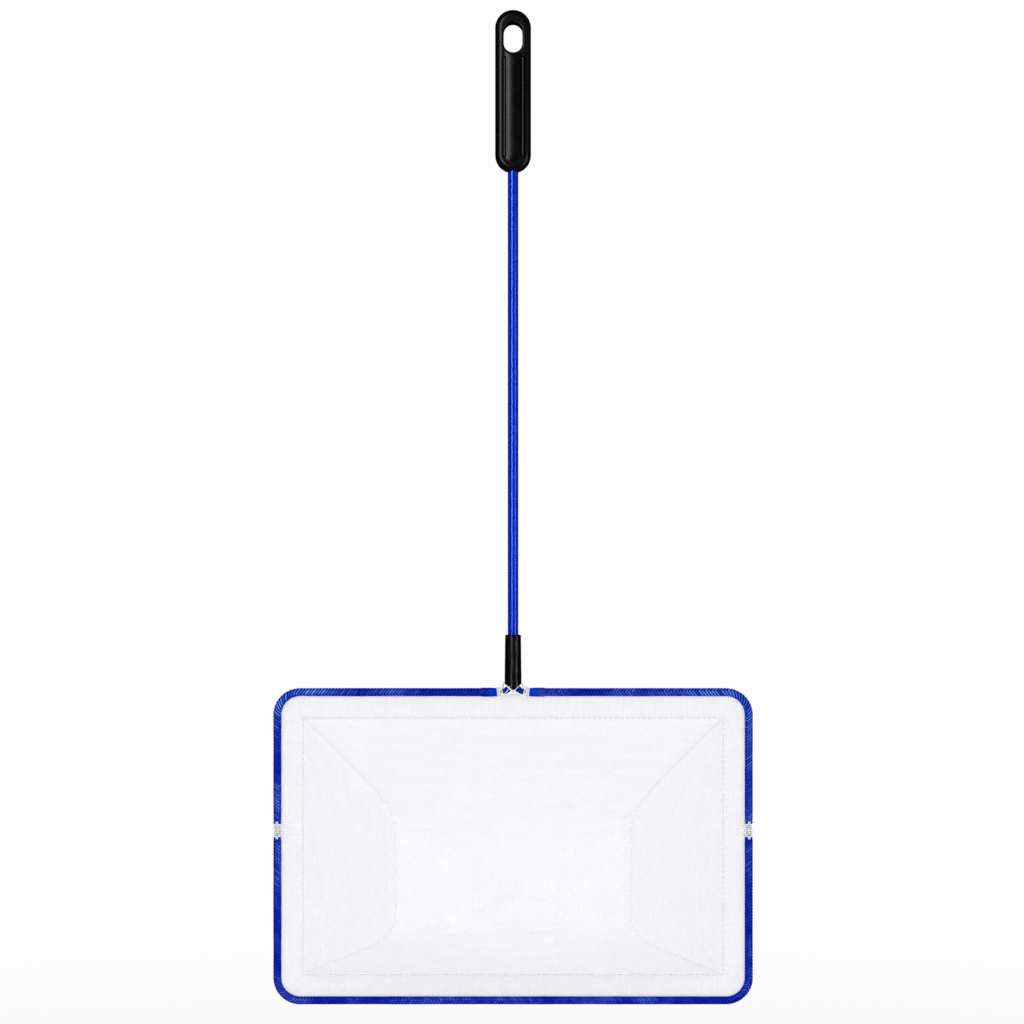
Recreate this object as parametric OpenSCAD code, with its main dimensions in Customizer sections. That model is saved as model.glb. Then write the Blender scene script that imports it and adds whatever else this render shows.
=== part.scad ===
// Hand-held skimmer net: moulded grip, plastic stem, wire frame and a shallow bag of fine mesh.
//
// Millimetres. The origin is the centre of the hang slot's upper arc, half way through the grip.
// +Z runs up the handle. The net's mouth faces -Y and its bag hangs behind the frame, towards +Y.

/* [Grip] */
// Length of the grip over its two round ends
grip_len = 86.4; // [75:0.2:120]
// Width of the grip
grip_w = 19; // [17:0.2:26]
// Thickness of the grip between its flat faces
grip_t = 8; // [7:0.1:8.4]
// Height of the straight strip left round the grip's rounded edge
grip_edge_flat = 0.9; // [0.1:0.1:3]
// Plastic above the hang slot
slot_top_wall = 7.25; // [4:0.05:12]
// Width of the hang slot
slot_w = 9.9; // [6:0.1:11]
// Height of the hang slot
slot_h = 15.7; // [12:0.1:22]
// Rounding of the hang slot's lips
slot_lip_r = 0.9; // [0.4:0.1:1.8]
// Plastic in front of and behind the stem in the grip's barrel
barrel_wall = 1.75; // [1.5:0.05:2.4]
// Plastic beside the stem, out to the grooves
barrel_side = 0.75; // [0.6:0.05:1.5]
// Radius of the barrel's arched front and back
barrel_arch_r = 16; // [12:0.5:20]
// From the slot's lip to where the barrel slopes up from the face
barrel_start = 0.2; // [0:0.1:4]
// Width of the groove on each side of the barrel
groove_w = 2.6; // [1:0.1:2.8]
// Depth of the grooves below the face
groove_depth = 1.4; // [0.4:0.1:2]
// From the slot to the grooves
groove_start = 1.75; // [1:0.05:8]
// From the grooves to the grip's lower end
groove_end = 7.8; // [6:0.1:14]

/* [Stem] */
// Length of stem that shows between the grip and the neck sleeve
stem_free = 244.6; // [120:0.2:420]
// Wall of the stem tube
stem_wall = 0.4; // [0.3:0.05:1]
// Length of stem held in the grip
stem_in_grip = 45; // [20:0.5:52]
// Length of stem held in the neck sleeve
stem_in_sleeve = 20; // [10:0.5:22]

/* [Neck sleeve] */
// Length of the sleeve to the tips of its tongues
sleeve_len = 30.2; // [26:0.2:50]
// Outer diameter at the sleeve's upper end
sleeve_top_d = 8.4; // [7.4:0.1:11]
// Outer diameter at the sleeve's mouth
sleeve_mouth_d = 9.1; // [7.8:0.1:12]
// Rounding of the sleeve's upper edge
sleeve_edge_r = 0.5; // [0.1:0.1:0.7]
// Height of the side notches that part the two tongues
notch_h = 4.5; // [3:0.1:7]
// From the tongue tips down to the middle of the frame's top bar
tip_drop = 0.2; // [-0.4:0.1:1]

/* [Frame wire] */
// Diameter of the coated wire
wire_d = 2.3; // [1.8:0.1:3]
// Gap between the two legs that run up the stem
leg_gap = 0.1; // [0.05:0.05:0.4]
// From the legs' upper ends down to the stem's upper end
leg_short = 2; // [0.5:0.5:10]
// Bend from the legs into the top bar
neck_bend_r = 4; // [3:0.1:6]
// Width of the frame between wire centres
frame_w = 249.8; // [160:0.2:320]
// Height of the frame between wire centres
frame_h = 163.3; // [120:0.2:220]
// Radius of the frame's corners at the wire's centre
corner_r = 12.1; // [8:0.1:18]

/* [Hem and bindings] */
// Thickness of mesh rolled round the wire
hem_wall = 0.35; // [0.2:0.05:0.8]
// Half of the hem's gap under the neck
hem_gap = 5.3; // [5.2:0.1:8]
// Wall of the slit bindings
binding_wall = 0.55; // [0.35:0.05:1]
// Clearance of the band in the bindings' slit
slit_clear = 0.2; // [0.1:0.05:0.4]
// From the middle of the neck to the upper bindings' ends
binding_start = 8.1; // [7.5:0.1:20]
// Length of the upper bindings' gathered ends at the neck
cuff_len = 9; // [4:0.1:16]
// How far the gathered ends stand out from the binding
cuff_rise = 0.25; // [0.1:0.05:0.4]
// Length of the taper from a gathered end to the binding
cuff_taper = 0.8; // [0.4:0.1:2]
// Gap between upper and lower bindings at each side
binding_gap = 5.6; // [3:0.1:12]
// From the top bar down to the side lashings
lashing_drop = 72.9; // [40:0.1:100]

/* [Rim band] */
// Width of the double mesh band inside the hem
band_w = 11.75; // [6:0.05:20]
// Thickness of the band
band_t = 0.5; // [0.3:0.05:0.8]
// Width of the folded ridge along each mitre
mitre_w = 1.6; // [0.8:0.1:3]
// Height of the mitre ridges above the band
mitre_h = 0.25; // [0.1:0.05:0.5]
// Diameter of the stitched rim seam
rim_seam_d = 1.4; // [0.8:0.1:2]
// Radius of the rim seam's corners
rim_seam_corner_r = 1.5; // [1:0.1:4]

/* [Bag] */
// Depth of the bag behind the rim seam
bag_depth = 62; // [30:0.5:120]
// Width of the bag's floor
floor_w = 133.4; // [80:0.2:180]
// Height of the bag's floor
floor_h = 70.7; // [40:0.1:100]
// How far the floor hangs below the frame's middle
bag_sag = 24.9; // [0:0.1:30]
// Sharpness of the folds at the seams and along the floor's lower edge
fold_power = 8; // [4:0.5:10]
// Sharpness of the soft fold along the middle of the floor's upper edge
soft_fold_power = 4; // [3:0.5:8]
// How far the floor bellies back in the middle
floor_belly = 5; // [0:0.5:12]
// How far the lower wall droops in the middle
wall_droop = 4; // [0:0.5:8]
// How far the gussets belly outwards
gusset_belly = 3; // [0:0.5:8]
// Thickness of the bag's mesh with its stiffness
mesh_t = 0.7; // [0.5:0.05:1.2]
// Diameter of the seams between panel and gussets
gusset_seam_d = 1; // [0.6:0.1:1.6]

/* [Thread] */
// Diameter of the lashing thread
thread_d = 0.5; // [0.4:0.05:0.6]
// Advance of a lashing for each turn
lashing_pitch = 1.05; // [1.02:0.01:1.4]
// Turns of each side lashing
side_turns = 7; // [4:1:10]
// Turns of the neck lashing on each side of the sleeve
neck_turns = 4; // [3:1:6]
// Width of the mesh tab beside the sleeve
tab_w = 3.2; // [2:0.1:3.3]
// Height of the mesh tab beside the sleeve
tab_h = 2.2; // [1:0.1:2.6]

/* [Hidden] */
$fn = 64;

// Clearance between pieces that seat on each other
fit = 0.05;
// Overrun of a cutting shape
cut = 1;
// Rings in one turn of thread, and sides of a thread
turn_rings = 24;
thread_sides = 6;
// Rings where a thread leaves the bar for the sleeve
rise_rings = 8;
// Cells across and along a panel of the bag
cells_across = 14;
cells_round = 28;
cells_gusset = 10;

// Radii from the wire outwards
wire_r = wire_d / 2;
hem_r = wire_r + fit + hem_wall;
binding_bore_r = hem_r + fit;
binding_r = binding_bore_r + binding_wall;
cuff_r = binding_r + cuff_rise;
slit_w = band_t + 2 * slit_clear;
thread_r = thread_d / 2;

// The two legs and the tube round them
leg_x = (wire_d + leg_gap) / 2;
stem_bore_r = leg_x + wire_r + fit;
stem_r = stem_bore_r + stem_wall;
socket_r = stem_r + fit;

// Heights down the handle
slot_r = slot_w / 2;
grip_top_z = slot_r + slot_top_wall;
grip_bottom_z = grip_top_z - grip_len;
grip_arc_top_z = grip_top_z - grip_w / 2;
grip_arc_bottom_z = grip_bottom_z + grip_w / 2;
slot_bottom_z = slot_r - slot_h;
stem_top_z = grip_bottom_z + stem_in_grip;
sleeve_top_z = grip_bottom_z - stem_free;
stem_bottom_z = sleeve_top_z - stem_in_sleeve;
sleeve_tip_z = sleeve_top_z - sleeve_len;
bar_z = sleeve_tip_z - tip_drop;
bottom_z = bar_z - frame_h;
frame_mid_z = bar_z - frame_h / 2;
lashing_z = bar_z - lashing_drop;
leg_top_z = stem_top_z - leg_short;
side_x = frame_w / 2;

// Grip details
face_y = grip_t / 2;
grip_edge_r = (grip_t - grip_edge_flat) / 2;
slot_arc_z = slot_bottom_z + slot_r;
barrel_x = socket_r + barrel_side;
barrel_y = socket_r + barrel_wall;
arch_y = barrel_arch_r - barrel_y;
// From the middle to past where the arch has sunk into the face
arch_reach = sqrt(barrel_arch_r * barrel_arch_r - (arch_y + face_y) * (arch_y + face_y)) + cut;
// Foot of the slope at the barrel's upper end, and the height that the barrel's sides reach
ring_r = slot_r + slot_lip_r + barrel_start;
barrel_top_z = slot_arc_z - sqrt(max(0, ring_r * ring_r - arch_reach * arch_reach));
groove_r = groove_w / 2;
groove_x = barrel_x + groove_r;
groove_y = face_y - groove_depth + groove_r;
groove_top_z = slot_bottom_z - groove_start - groove_r;
groove_bottom_z = grip_bottom_z + groove_end + groove_r;

// Rim seam and bag
rim_seam_r = rim_seam_d / 2;
seam_inset = hem_r + fit + band_w + fit + rim_seam_r;
seam_x = side_x - seam_inset;
seam_hz = frame_h / 2 - seam_inset;
bag_y = rim_seam_r + fit;
gusset_seam_r = gusset_seam_d / 2;
panel_gap = gusset_seam_r + fit;
notch_reach = binding_r + thread_d + 3 * fit;
neck_reach = cuff_r + thread_d + 3 * fit;

// ---------------------------------------------------------------- grip

// Half of the grip's cross-section, right of its middle, with rounded outer edges
module grip_half_section() {
    translate([0, -face_y]) square([grip_w / 2 - grip_edge_r, grip_t]);
    translate([0, grip_edge_r - face_y]) square([grip_w / 2, grip_t - 2 * grip_edge_r]);
    for (side = [-1, 1])
        translate([grip_w / 2 - grip_edge_r, side * (face_y - grip_edge_r)]) circle(grip_edge_r);
}

// Turns a half-section half way round an axis along Y, upwards
module half_turn() {
    rotate([90, 0, 0]) rotate_extrude(angle = 180) children();
}

module grip_blank() {
    translate([0, 0, grip_arc_bottom_z])
        linear_extrude(grip_arc_top_z - grip_arc_bottom_z) {
            grip_half_section();
            mirror([1, 0]) grip_half_section();
        }
    translate([0, 0, grip_arc_top_z]) half_turn() grip_half_section();
    translate([0, 0, grip_arc_bottom_z]) rotate([0, 180, 0]) half_turn() grip_half_section();
}

// Half of what the hang slot removes: it widens round the rounded lip on each face
module slot_half_section() {
    difference() {
        translate([0, -grip_t]) square([slot_r + slot_lip_r, 2 * grip_t]);
        translate([slot_r + slot_lip_r, 0]) {
            translate([-slot_lip_r, slot_lip_r - face_y]) square([grip_w, grip_t - 2 * slot_lip_r]);
            for (side = [-1, 1])
                translate([0, side * (face_y - slot_lip_r)]) circle(slot_lip_r);
        }
    }
}

module hang_slot() {
    translate([0, 0, slot_arc_z])
        linear_extrude(slot_h - slot_w) {
            slot_half_section();
            mirror([1, 0]) slot_half_section();
        }
    half_turn() slot_half_section();
    translate([0, 0, slot_arc_z]) rotate([0, 180, 0]) half_turn() slot_half_section();
}

// Half of the barrel's arched cross-section, right of its middle
module arch_half_section() {
    intersection() {
        translate([0, -grip_t]) square([arch_reach, 2 * grip_t]);
        translate([0, -arch_y]) circle(barrel_arch_r);
        translate([0, arch_y]) circle(barrel_arch_r);
    }
}

// Half of what slopes the barrel's upper end back from the ring round the slot, on both faces
module slope_half_section() {
    rise = barrel_y - face_y + cut;
    for (side = [0, 1])
        mirror([0, side])
            polygon([
                [0, face_y - cut],
                [ring_r - cut, face_y - cut],
                [ring_r + rise, face_y + rise],
                [0, face_y + rise]
            ]);
}

// Arched barrel along the middle, sloped at the slot's ring and domed into the grip's lower end
module grip_barrel() {
    difference() {
        translate([0, 0, grip_arc_bottom_z])
            linear_extrude(barrel_top_z - grip_arc_bottom_z) {
                arch_half_section();
                mirror([1, 0]) arch_half_section();
            }
        translate([0, 0, slot_arc_z]) rotate([0, 180, 0]) half_turn() slope_half_section();
    }
    translate([0, 0, grip_arc_bottom_z]) rotate([0, 180, 0]) half_turn() arch_half_section();
}

// Half of the cross-section of a front and a back groove, right of their own middle: each has
// straight sides over a half-round floor
module groove_half_section() {
    for (side = [0, 1])
        mirror([0, side])
            translate([0, groove_y]) {
                square([groove_r, grip_t]);
                intersection() {
                    circle(groove_r);
                    translate([0, -groove_r]) square(groove_r);
                }
            }
}

// The front and back groove on the barrel's right, with round ends
module grooves() {
    translate([groove_x, 0, groove_bottom_z]) {
        linear_extrude(groove_top_z - groove_bottom_z) {
            groove_half_section();
            mirror([1, 0]) groove_half_section();
        }
        rotate([0, 180, 0]) half_turn() groove_half_section();
    }
    translate([groove_x, 0, groove_top_z]) half_turn() groove_half_section();
}

module grip() {
    color("#1c1c1f")
        difference() {
            union() {
                grip_blank();
                grip_barrel();
            }
            grooves();
            mirror([1, 0, 0]) grooves();
            hang_slot();
            translate([0, 0, grip_bottom_z - cut])
                cylinder(h = stem_in_grip + fit + cut, r = socket_r);
        }
}

// ---------------------------------------------------------------- stem and neck

module stem_tube() {
    color("#1233c4")
        translate([0, 0, stem_bottom_z])
            difference() {
                cylinder(h = stem_top_z - stem_bottom_z, r = stem_r);
                translate([0, 0, -cut])
                    cylinder(h = stem_top_z - stem_bottom_z + 2 * cut, r = stem_bore_r);
            }
}

// Tapered wall of the sleeve, turned about the handle's axis
module sleeve_wall() {
    top_r = sleeve_top_d / 2;
    mouth_r = sleeve_mouth_d / 2;
    rotate_extrude() {
        polygon([
            [socket_r, sleeve_tip_z],
            [mouth_r, sleeve_tip_z],
            [top_r, sleeve_top_z - sleeve_edge_r],
            [top_r - sleeve_edge_r, sleeve_top_z - sleeve_edge_r],
            [top_r - sleeve_edge_r, sleeve_top_z],
            [socket_r, sleeve_top_z]
        ]);
        translate([top_r - sleeve_edge_r, sleeve_top_z - sleeve_edge_r])
            intersection() {
                circle(sleeve_edge_r);
                square(sleeve_edge_r);
            }
    }
}

module neck_sleeve() {
    mouth_r = sleeve_mouth_d / 2;
    color("#262628")
        difference() {
            sleeve_wall();
            translate([0, sleeve_mouth_d, 0])
                rotate([90, 0, 0])
                    linear_extrude(2 * sleeve_mouth_d)
                        polygon([
                            [0, sleeve_tip_z],
                            [mouth_r, sleeve_tip_z + notch_h],
                            [mouth_r + cut, sleeve_tip_z + notch_h],
                            [mouth_r + cut, sleeve_tip_z - cut],
                            [-mouth_r - cut, sleeve_tip_z - cut],
                            [-mouth_r - cut, sleeve_tip_z + notch_h],
                            [-mouth_r, sleeve_tip_z + notch_h]
                        ]);
        }
}

// ---------------------------------------------------------------- runs along the frame
//
// Each run takes a 2D section whose +X points out of the frame and whose +Y points along Y.

// Quarter bend about an axis along Y, starting at an angle measured from +X towards +Z
module bend(start, r) {
    rotate([90, 0, 0]) rotate([0, 0, start]) rotate_extrude(angle = 90) translate([r, 0]) children();
}

module top_run(x_from, x_to) {
    translate([x_to, 0, bar_z]) rotate([0, -90, 0]) linear_extrude(x_to - x_from) children();
}

module bottom_run(x_from, x_to) {
    translate([x_from, 0, bottom_z]) rotate([0, 90, 0]) linear_extrude(x_to - x_from) children();
}

module side_run(z_from, z_to) {
    translate([side_x, 0, z_from]) linear_extrude(z_to - z_from) children();
}

module top_corner() {
    translate([side_x - corner_r, 0, bar_z - corner_r]) bend(0, corner_r) children();
}

module bottom_corner() {
    translate([side_x - corner_r, 0, bottom_z + corner_r]) bend(-90, corner_r) children();
}

// Everything right of the neck, from x_from on the top bar down to the bottom bar
module right_run(x_from) {
    top_run(x_from, side_x - corner_r) children();
    top_corner() children();
    side_run(bottom_z + corner_r, bar_z - corner_r) children();
    bottom_corner() children();
}

module frame_wire() {
    color("#1436c8") {
        for (side = [0, 1])
            mirror([side, 0, 0]) {
                translate([leg_x, 0, bar_z + neck_bend_r])
                    cylinder(h = leg_top_z - bar_z - neck_bend_r, r = wire_r);
                translate([leg_x + neck_bend_r, 0, bar_z + neck_bend_r])
                    bend(180, neck_bend_r) circle(wire_r);
                right_run(leg_x + neck_bend_r) circle(wire_r);
            }
        bottom_run(corner_r - side_x, side_x - corner_r) circle(wire_r);
    }
}

module hem_section() {
    difference() {
        circle(hem_r);
        circle(wire_r + fit);
    }
}

module hem_roll() {
    color("#f4f4f6") {
        for (side = [0, 1]) mirror([side, 0, 0]) right_run(hem_gap) hem_section();
        bottom_run(corner_r - side_x, side_x - corner_r) hem_section();
    }
}

// Bore and slit of a binding; the slit is on the side that faces the net
module binding_inside() {
    circle(binding_bore_r);
    translate([-2 * cuff_r, -slit_w / 2]) square([2 * cuff_r, slit_w]);
}

module binding_section() {
    difference() {
        circle(binding_r);
        binding_inside();
    }
}

// Gathered end of an upper binding, fuller than the rest of it
module binding_cuff() {
    straight = cuff_len - cuff_taper;
    difference() {
        translate([binding_start, 0, bar_z])
            rotate([0, 90, 0]) {
                cylinder(h = straight, r = cuff_r);
                translate([0, 0, straight]) cylinder(h = cuff_taper, r1 = cuff_r, r2 = binding_r);
            }
        top_run(binding_start - fit, binding_start + cuff_len + fit) binding_inside();
    }
}

module binding_upper_right() {
    color("#173bbf") {
        binding_cuff();
        top_run(binding_start + cuff_len, side_x - corner_r) binding_section();
        top_corner() binding_section();
        side_run(lashing_z + binding_gap / 2, bar_z - corner_r) binding_section();
    }
}

module binding_upper_left() {
    mirror([1, 0, 0]) binding_upper_right();
}

module binding_lower() {
    color("#173bbf") {
        for (side = [0, 1])
            mirror([side, 0, 0]) {
                side_run(bottom_z + corner_r, lashing_z - binding_gap / 2) binding_section();
                bottom_corner() binding_section();
            }
        bottom_run(corner_r - side_x, side_x - corner_r) binding_section();
    }
}

// ---------------------------------------------------------------- rim band and seam

// Rectangle with round corners, centred on the frame, inset from the wire's centreline
module frame_outline(inset, r) {
    half_x = side_x - inset;
    half_z = frame_h / 2 - inset;
    translate([0, frame_mid_z]) {
        square([2 * half_x, 2 * (half_z - r)], center = true);
        square([2 * (half_x - r), 2 * half_z], center = true);
        for (sx = [-1, 1], sz = [-1, 1]) translate([sx * (half_x - r), sz * (half_z - r)]) circle(r);
    }
}

// The band's outline, with room for the lashings where they pass round the hem. Under the neck a
// tongue of it reaches up between the lashings.
module band_outline() {
    neck_half = binding_start + lashing_pitch * neck_turns / 2;
    tongue_half = hem_gap - 2 * fit;
    side_half = lashing_pitch * side_turns / 2 + thread_d;
    difference() {
        frame_outline(hem_r + fit, corner_r - hem_r - fit);
        frame_outline(seam_inset - rim_seam_r - fit, rim_seam_corner_r + rim_seam_r + fit);
        for (side = [0, 1])
            mirror([side, 0])
                translate([tongue_half, bar_z - neck_reach])
                    square([neck_half - tongue_half, neck_reach]);
        for (side = [-1, 1])
            translate([side * side_x - notch_reach, lashing_z - side_half])
                square([2 * notch_reach, 2 * side_half]);
    }
}

// Strips that run outwards at 45 degrees from the rim seam's corners
module mitre_strips() {
    for (sx = [-1, 1], sz = [-1, 1])
        translate([sx * seam_x, frame_mid_z + sz * seam_hz])
            rotate(atan2(sz, sx))
                translate([0, -mitre_w / 2]) square([2 * band_w, mitre_w]);
}

module rim_band() {
    color("#f2f2f5")
        rotate([90, 0, 0])
            translate([0, 0, -band_t / 2]) {
                linear_extrude(band_t) band_outline();
                linear_extrude(band_t + mitre_h)
                    intersection() {
                        frame_outline(binding_r + fit, corner_r - binding_r - fit);
                        band_outline();
                        mitre_strips();
                    }
            }
}

module rim_seam() {
    half_x = seam_x - rim_seam_corner_r;
    half_z = seam_hz - rim_seam_corner_r;
    color("#fafafc")
        translate([0, 0, frame_mid_z]) {
            for (side = [-1, 1]) {
                translate([side * seam_x, 0, -half_z]) cylinder(h = 2 * half_z, r = rim_seam_r);
                translate([-half_x, 0, side * seam_hz])
                    rotate([0, 90, 0]) cylinder(h = 2 * half_x, r = rim_seam_r);
            }
            for (quarter = [0 : 3])
                translate([
                    half_x * sign(cos(45 + 90 * quarter)),
                    0,
                    half_z * sign(sin(45 + 90 * quarter))
                ])
                    bend(90 * quarter, rim_seam_corner_r) circle(rim_seam_r);
        }
}

// ---------------------------------------------------------------- vectors and swept shapes

function unit(v) = v / norm(v);
function mix(a, b, t) = a + (b - a) * t;
function smooth(t) = let (c = max(0, min(1, t))) c * c * (3 - 2 * c);

// Direction along a path at point i
function path_dir(p, i) = unit(p[min(i + 1, len(p) - 1)] - p[max(i - 1, 0)]);

// A side vector for each point of a path, carried along it without twist
function path_sides(p, first) = [
    for (
        i = 0, n = unit(first - (first * path_dir(p, 0)) * path_dir(p, 0));
        i < len(p);
        i = i + 1,
        d = path_dir(p, min(i, len(p) - 1)),
        n = unit(n - (n * d) * d)
    ) n
];

// Closed round tube along a path, with rings of the given number of sides
module tube(p, r, sides, first) {
    n = path_sides(p, first);
    last = len(p) - 1;
    points = [
        for (i = [0 : last], k = [0 : sides - 1])
            let (a = 360 * k / sides, b = cross(path_dir(p, i), n[i]))
                p[i] + r * (cos(a) * n[i] + sin(a) * b)
    ];
    walls = [
        for (i = [0 : last - 1], k = [0 : sides - 1])
            let (a = i * sides + k, b = i * sides + (k + 1) % sides)
                each [[a, b + sides, b], [a, a + sides, b + sides]]
    ];
    first_cap = [for (k = [1 : sides - 2]) [0, k, k + 1]];
    last_cap = [for (k = [1 : sides - 2]) [last * sides, last * sides + k + 1, last * sides + k]];
    polyhedron(points = points, faces = concat(walls, first_cap, last_cap));
}

// Closed sheet between two grids of rows by columns. The second grid lies on the side of the
// first that the cross product of its row and column directions points to.
module sheet(first, second) {
    rows = len(first);
    cols = len(first[0]);
    points = concat([for (r = first) each r], [for (r = second) each r]);
    back = rows * cols;
    faces_first = [
        for (i = [0 : rows - 2], j = [0 : cols - 2])
            let (a = i * cols + j)
                each [[a, a + 1, a + cols + 1], [a, a + cols + 1, a + cols]]
    ];
    faces_second = [for (f = faces_first) [f[0] + back, f[2] + back, f[1] + back]];
    edge = concat(
        [for (j = [0 : cols - 2]) j],
        [for (i = [0 : rows - 2]) i * cols + cols - 1],
        [for (j = [cols - 1 : -1 : 1]) (rows - 1) * cols + j],
        [for (i = [rows - 1 : -1 : 1]) i * cols]
    );
    rim = [
        for (k = [0 : len(edge) - 1])
            let (a = edge[k], b = edge[(k + 1) % len(edge)])
                each [[a, a + back, b + back], [a, b + back, b]]
    ];
    polyhedron(points = points, faces = concat(faces_first, faces_second, rim));
}

// ---------------------------------------------------------------- bag
//
// The bag is a loft. Seen from the side each half follows a superellipse from the rim seam (phi 0)
// round the floor's middle (phi 90) to the lower rim seam (phi 180). Its width and height shrink
// from the rim to the floor, and its middle hangs lower towards the floor. Across the bag, w runs
// from one seam to the other, -1 to 1, and the upper fold is softer between the seams.

function fold_radius(phi, w) =
    let (power = phi < 90 ? mix(soft_fold_power, fold_power, w * w) : fold_power)
    pow(pow(abs(sin(phi)), power) + pow(abs(cos(phi)), power), -1 / power);
function bag_reach(phi, w = 1) = fold_radius(phi, w) * sin(phi);
function bag_rise(phi, w = 1) = fold_radius(phi, w) * cos(phi);
function bag_half_x(f) = mix(seam_x, floor_w / 2, f);
function bag_half_z(f) = mix(seam_hz, floor_h / 2, f);
function bag_mid_z(f) = frame_mid_z - bag_sag * f;

// A point of the strip that makes the upper wall, floor and lower wall
function strip_point(phi, w) =
    let (
        f = bag_reach(phi, w),
        g = bag_rise(phi, w),
        belly = (1 - w * w) * pow(f, 6) * (1 - g * g),
        droop = (1 - w * w) * sin(180 * min(1, f)) * max(0, -g)
    )
    [
        w * bag_half_x(f),
        bag_y + bag_depth * f + floor_belly * belly,
        bag_mid_z(f) + bag_half_z(f) * g - wall_droop * droop
    ];

// A point of the right gusset; v runs from its lower to its upper edge, -1 to 1
function gusset_point(phi, v) =
    let (f = bag_reach(phi), g = bag_rise(phi))
    [
        bag_half_x(f) + gusset_belly * (1 - v * v) * sin(180 * min(1, f)),
        bag_y + bag_depth * f,
        bag_mid_z(f) + bag_half_z(f) * g * v
    ];

// Outward normals of the strip and of the right gusset
function strip_normal(phi, w) =
    let (e = 0.5, c = 0.01)
    unit(cross(
        strip_point(phi, w + c) - strip_point(phi, w - c),
        strip_point(min(phi + e, 180), w) - strip_point(max(phi - e, 0), w)
    ));

function gusset_normal(phi, v) =
    let (e = 0.5, c = 0.01)
    unit(cross(
        gusset_point(phi + e, v) - gusset_point(max(phi - e, 0), v),
        gusset_point(phi, v + c) - gusset_point(phi, v - c)
    ));

module bag_main_panel() {
    grid = [
        for (i = [0 : cells_round])
            let (phi = 180 * i / cells_round, reach = 1 - panel_gap / bag_half_x(bag_reach(phi)))
                [for (j = [0 : cells_across]) [phi, reach * (2 * j / cells_across - 1)]]
    ];
    color("#f5f5f8")
        sheet(
            [for (row = grid) [for (c = row) strip_point(c[0], c[1]) + mesh_t * strip_normal(c[0], c[1])]],
            [for (row = grid) [for (c = row) strip_point(c[0], c[1])]]
        );
}

// Last angle of the gusset, where it meets the seam along the floor's side
gusset_reach = 1 - panel_gap / bag_depth;
gusset_end = atan2(gusset_reach, pow(1 - pow(gusset_reach, fold_power), 1 / fold_power));

module bag_gusset_right() {
    grid = [
        for (i = [0 : cells_gusset])
            let (
                phi = gusset_end * i / cells_gusset,
                edge = bag_half_z(bag_reach(phi)) * bag_rise(phi),
                reach = 1 - 1.5 * panel_gap / edge
            )
                [for (j = [0 : cells_gusset]) [phi, reach * (2 * j / cells_gusset - 1)]]
    ];
    color("#eeeef2")
        sheet(
            [for (row = grid) [for (c = row) gusset_point(c[0], c[1])]],
            [for (row = grid) [for (c = row) gusset_point(c[0], c[1]) + mesh_t * gusset_normal(c[0], c[1])]]
        );
}

module bag_gusset_left() {
    mirror([1, 0, 0]) bag_gusset_right();
}

module gusset_seam_right() {
    rings = 2 * cells_round;
    path = [for (i = [0 : rings]) strip_point(180 * i / rings, 1)];
    color("#fafafc") tube(path, gusset_seam_r, thread_sides, [1, 0, 0]);
}

module gusset_seam_left() {
    mirror([1, 0, 0]) gusset_seam_right();
}

// ---------------------------------------------------------------- lashings

// Radius of a thread's centre round a bar: on the hem, or out on the end of a binding
function turn_r(past_end, end_r) =
    mix(hem_r, end_r, smooth(past_end / lashing_pitch + 0.5)) + thread_r + fit;

// Least gap between parts of a thread that lie at least half a turn apart
function least_gap(p) =
    min([
        for (i = [0 : len(p) - 1], j = [i + floor(turn_rings / 2) : len(p) - 1])
            if (j < len(p)) norm(p[i] - p[j])
    ]) - thread_d;

side_path = [
    for (i = [0 : turn_rings * side_turns])
        let (
            t = i / turn_rings,
            z = lashing_pitch * (t - side_turns / 2),
            r = turn_r(abs(z) - binding_gap / 2, binding_r)
        )
            [side_x + r * cos(360 * t), r * sin(360 * t), lashing_z - z]
];

// Winding on the right of the neck, from the binding's end in to the back of the bar
neck_turns_path = [
    for (i = [0 : turn_rings * neck_turns])
        let (
            t = i / turn_rings,
            x = hem_gap + thread_r + lashing_pitch * (neck_turns - t),
            r = turn_r(x - binding_start, cuff_r)
        )
            [x, r * cos(360 * t), bar_z + r * sin(360 * t)]
];

// Round the front of the sleeve along the edges of its tongue, from right to left
tongue_r = sleeve_mouth_d / 2 + thread_r + fit;
tongue_turn = 100;
tongue_round = 0.12;
function tongue_point(a) = [
    tongue_r * sin(a),
    -tongue_r * cos(a),
    sleeve_tip_z + thread_r + notch_h * (sqrt(pow(sin(a), 2) + pow(tongue_round, 2)))
];
tongue_path = [
    for (i = [0 : turn_rings]) tongue_point(tongue_turn * (1 - 2 * i / turn_rings))
];

// Curve from the winding's last point up behind the bar to the sleeve's side
function bezier(a, b, c, d, t) =
    pow(1 - t, 3) * a + 3 * pow(1 - t, 2) * t * b + 3 * (1 - t) * t * t * c + pow(t, 3) * d;
rise_from = neck_turns_path[len(neck_turns_path) - 1];
rise_to = tongue_path[0];
rise_path = [
    for (i = [1 : rise_rings - 1])
        bezier(
            rise_from,
            rise_from + [0, 0, notch_h / 2],
            rise_to + [0, notch_h / 4, 0],
            rise_to,
            i / rise_rings
        )
];

right_half = concat(neck_turns_path, rise_path);
neck_path = concat(
    right_half,
    tongue_path,
    [for (i = [len(right_half) - 1 : -1 : 0]) [-right_half[i][0], right_half[i][1], right_half[i][2]]]
);

echo(side_lashing_least_gap = least_gap(side_path));
echo(neck_lashing_least_gap = least_gap(neck_path));

module side_lashing_right() {
    color("#fcfcfe") tube(side_path, thread_r, thread_sides, [1, 0, 0]);
}

module side_lashing_left() {
    mirror([1, 0, 0]) side_lashing_right();
}

module neck_lashing() {
    color("#fcfcfe") tube(neck_path, thread_r, thread_sides, [0, 1, 0]);
}

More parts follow.
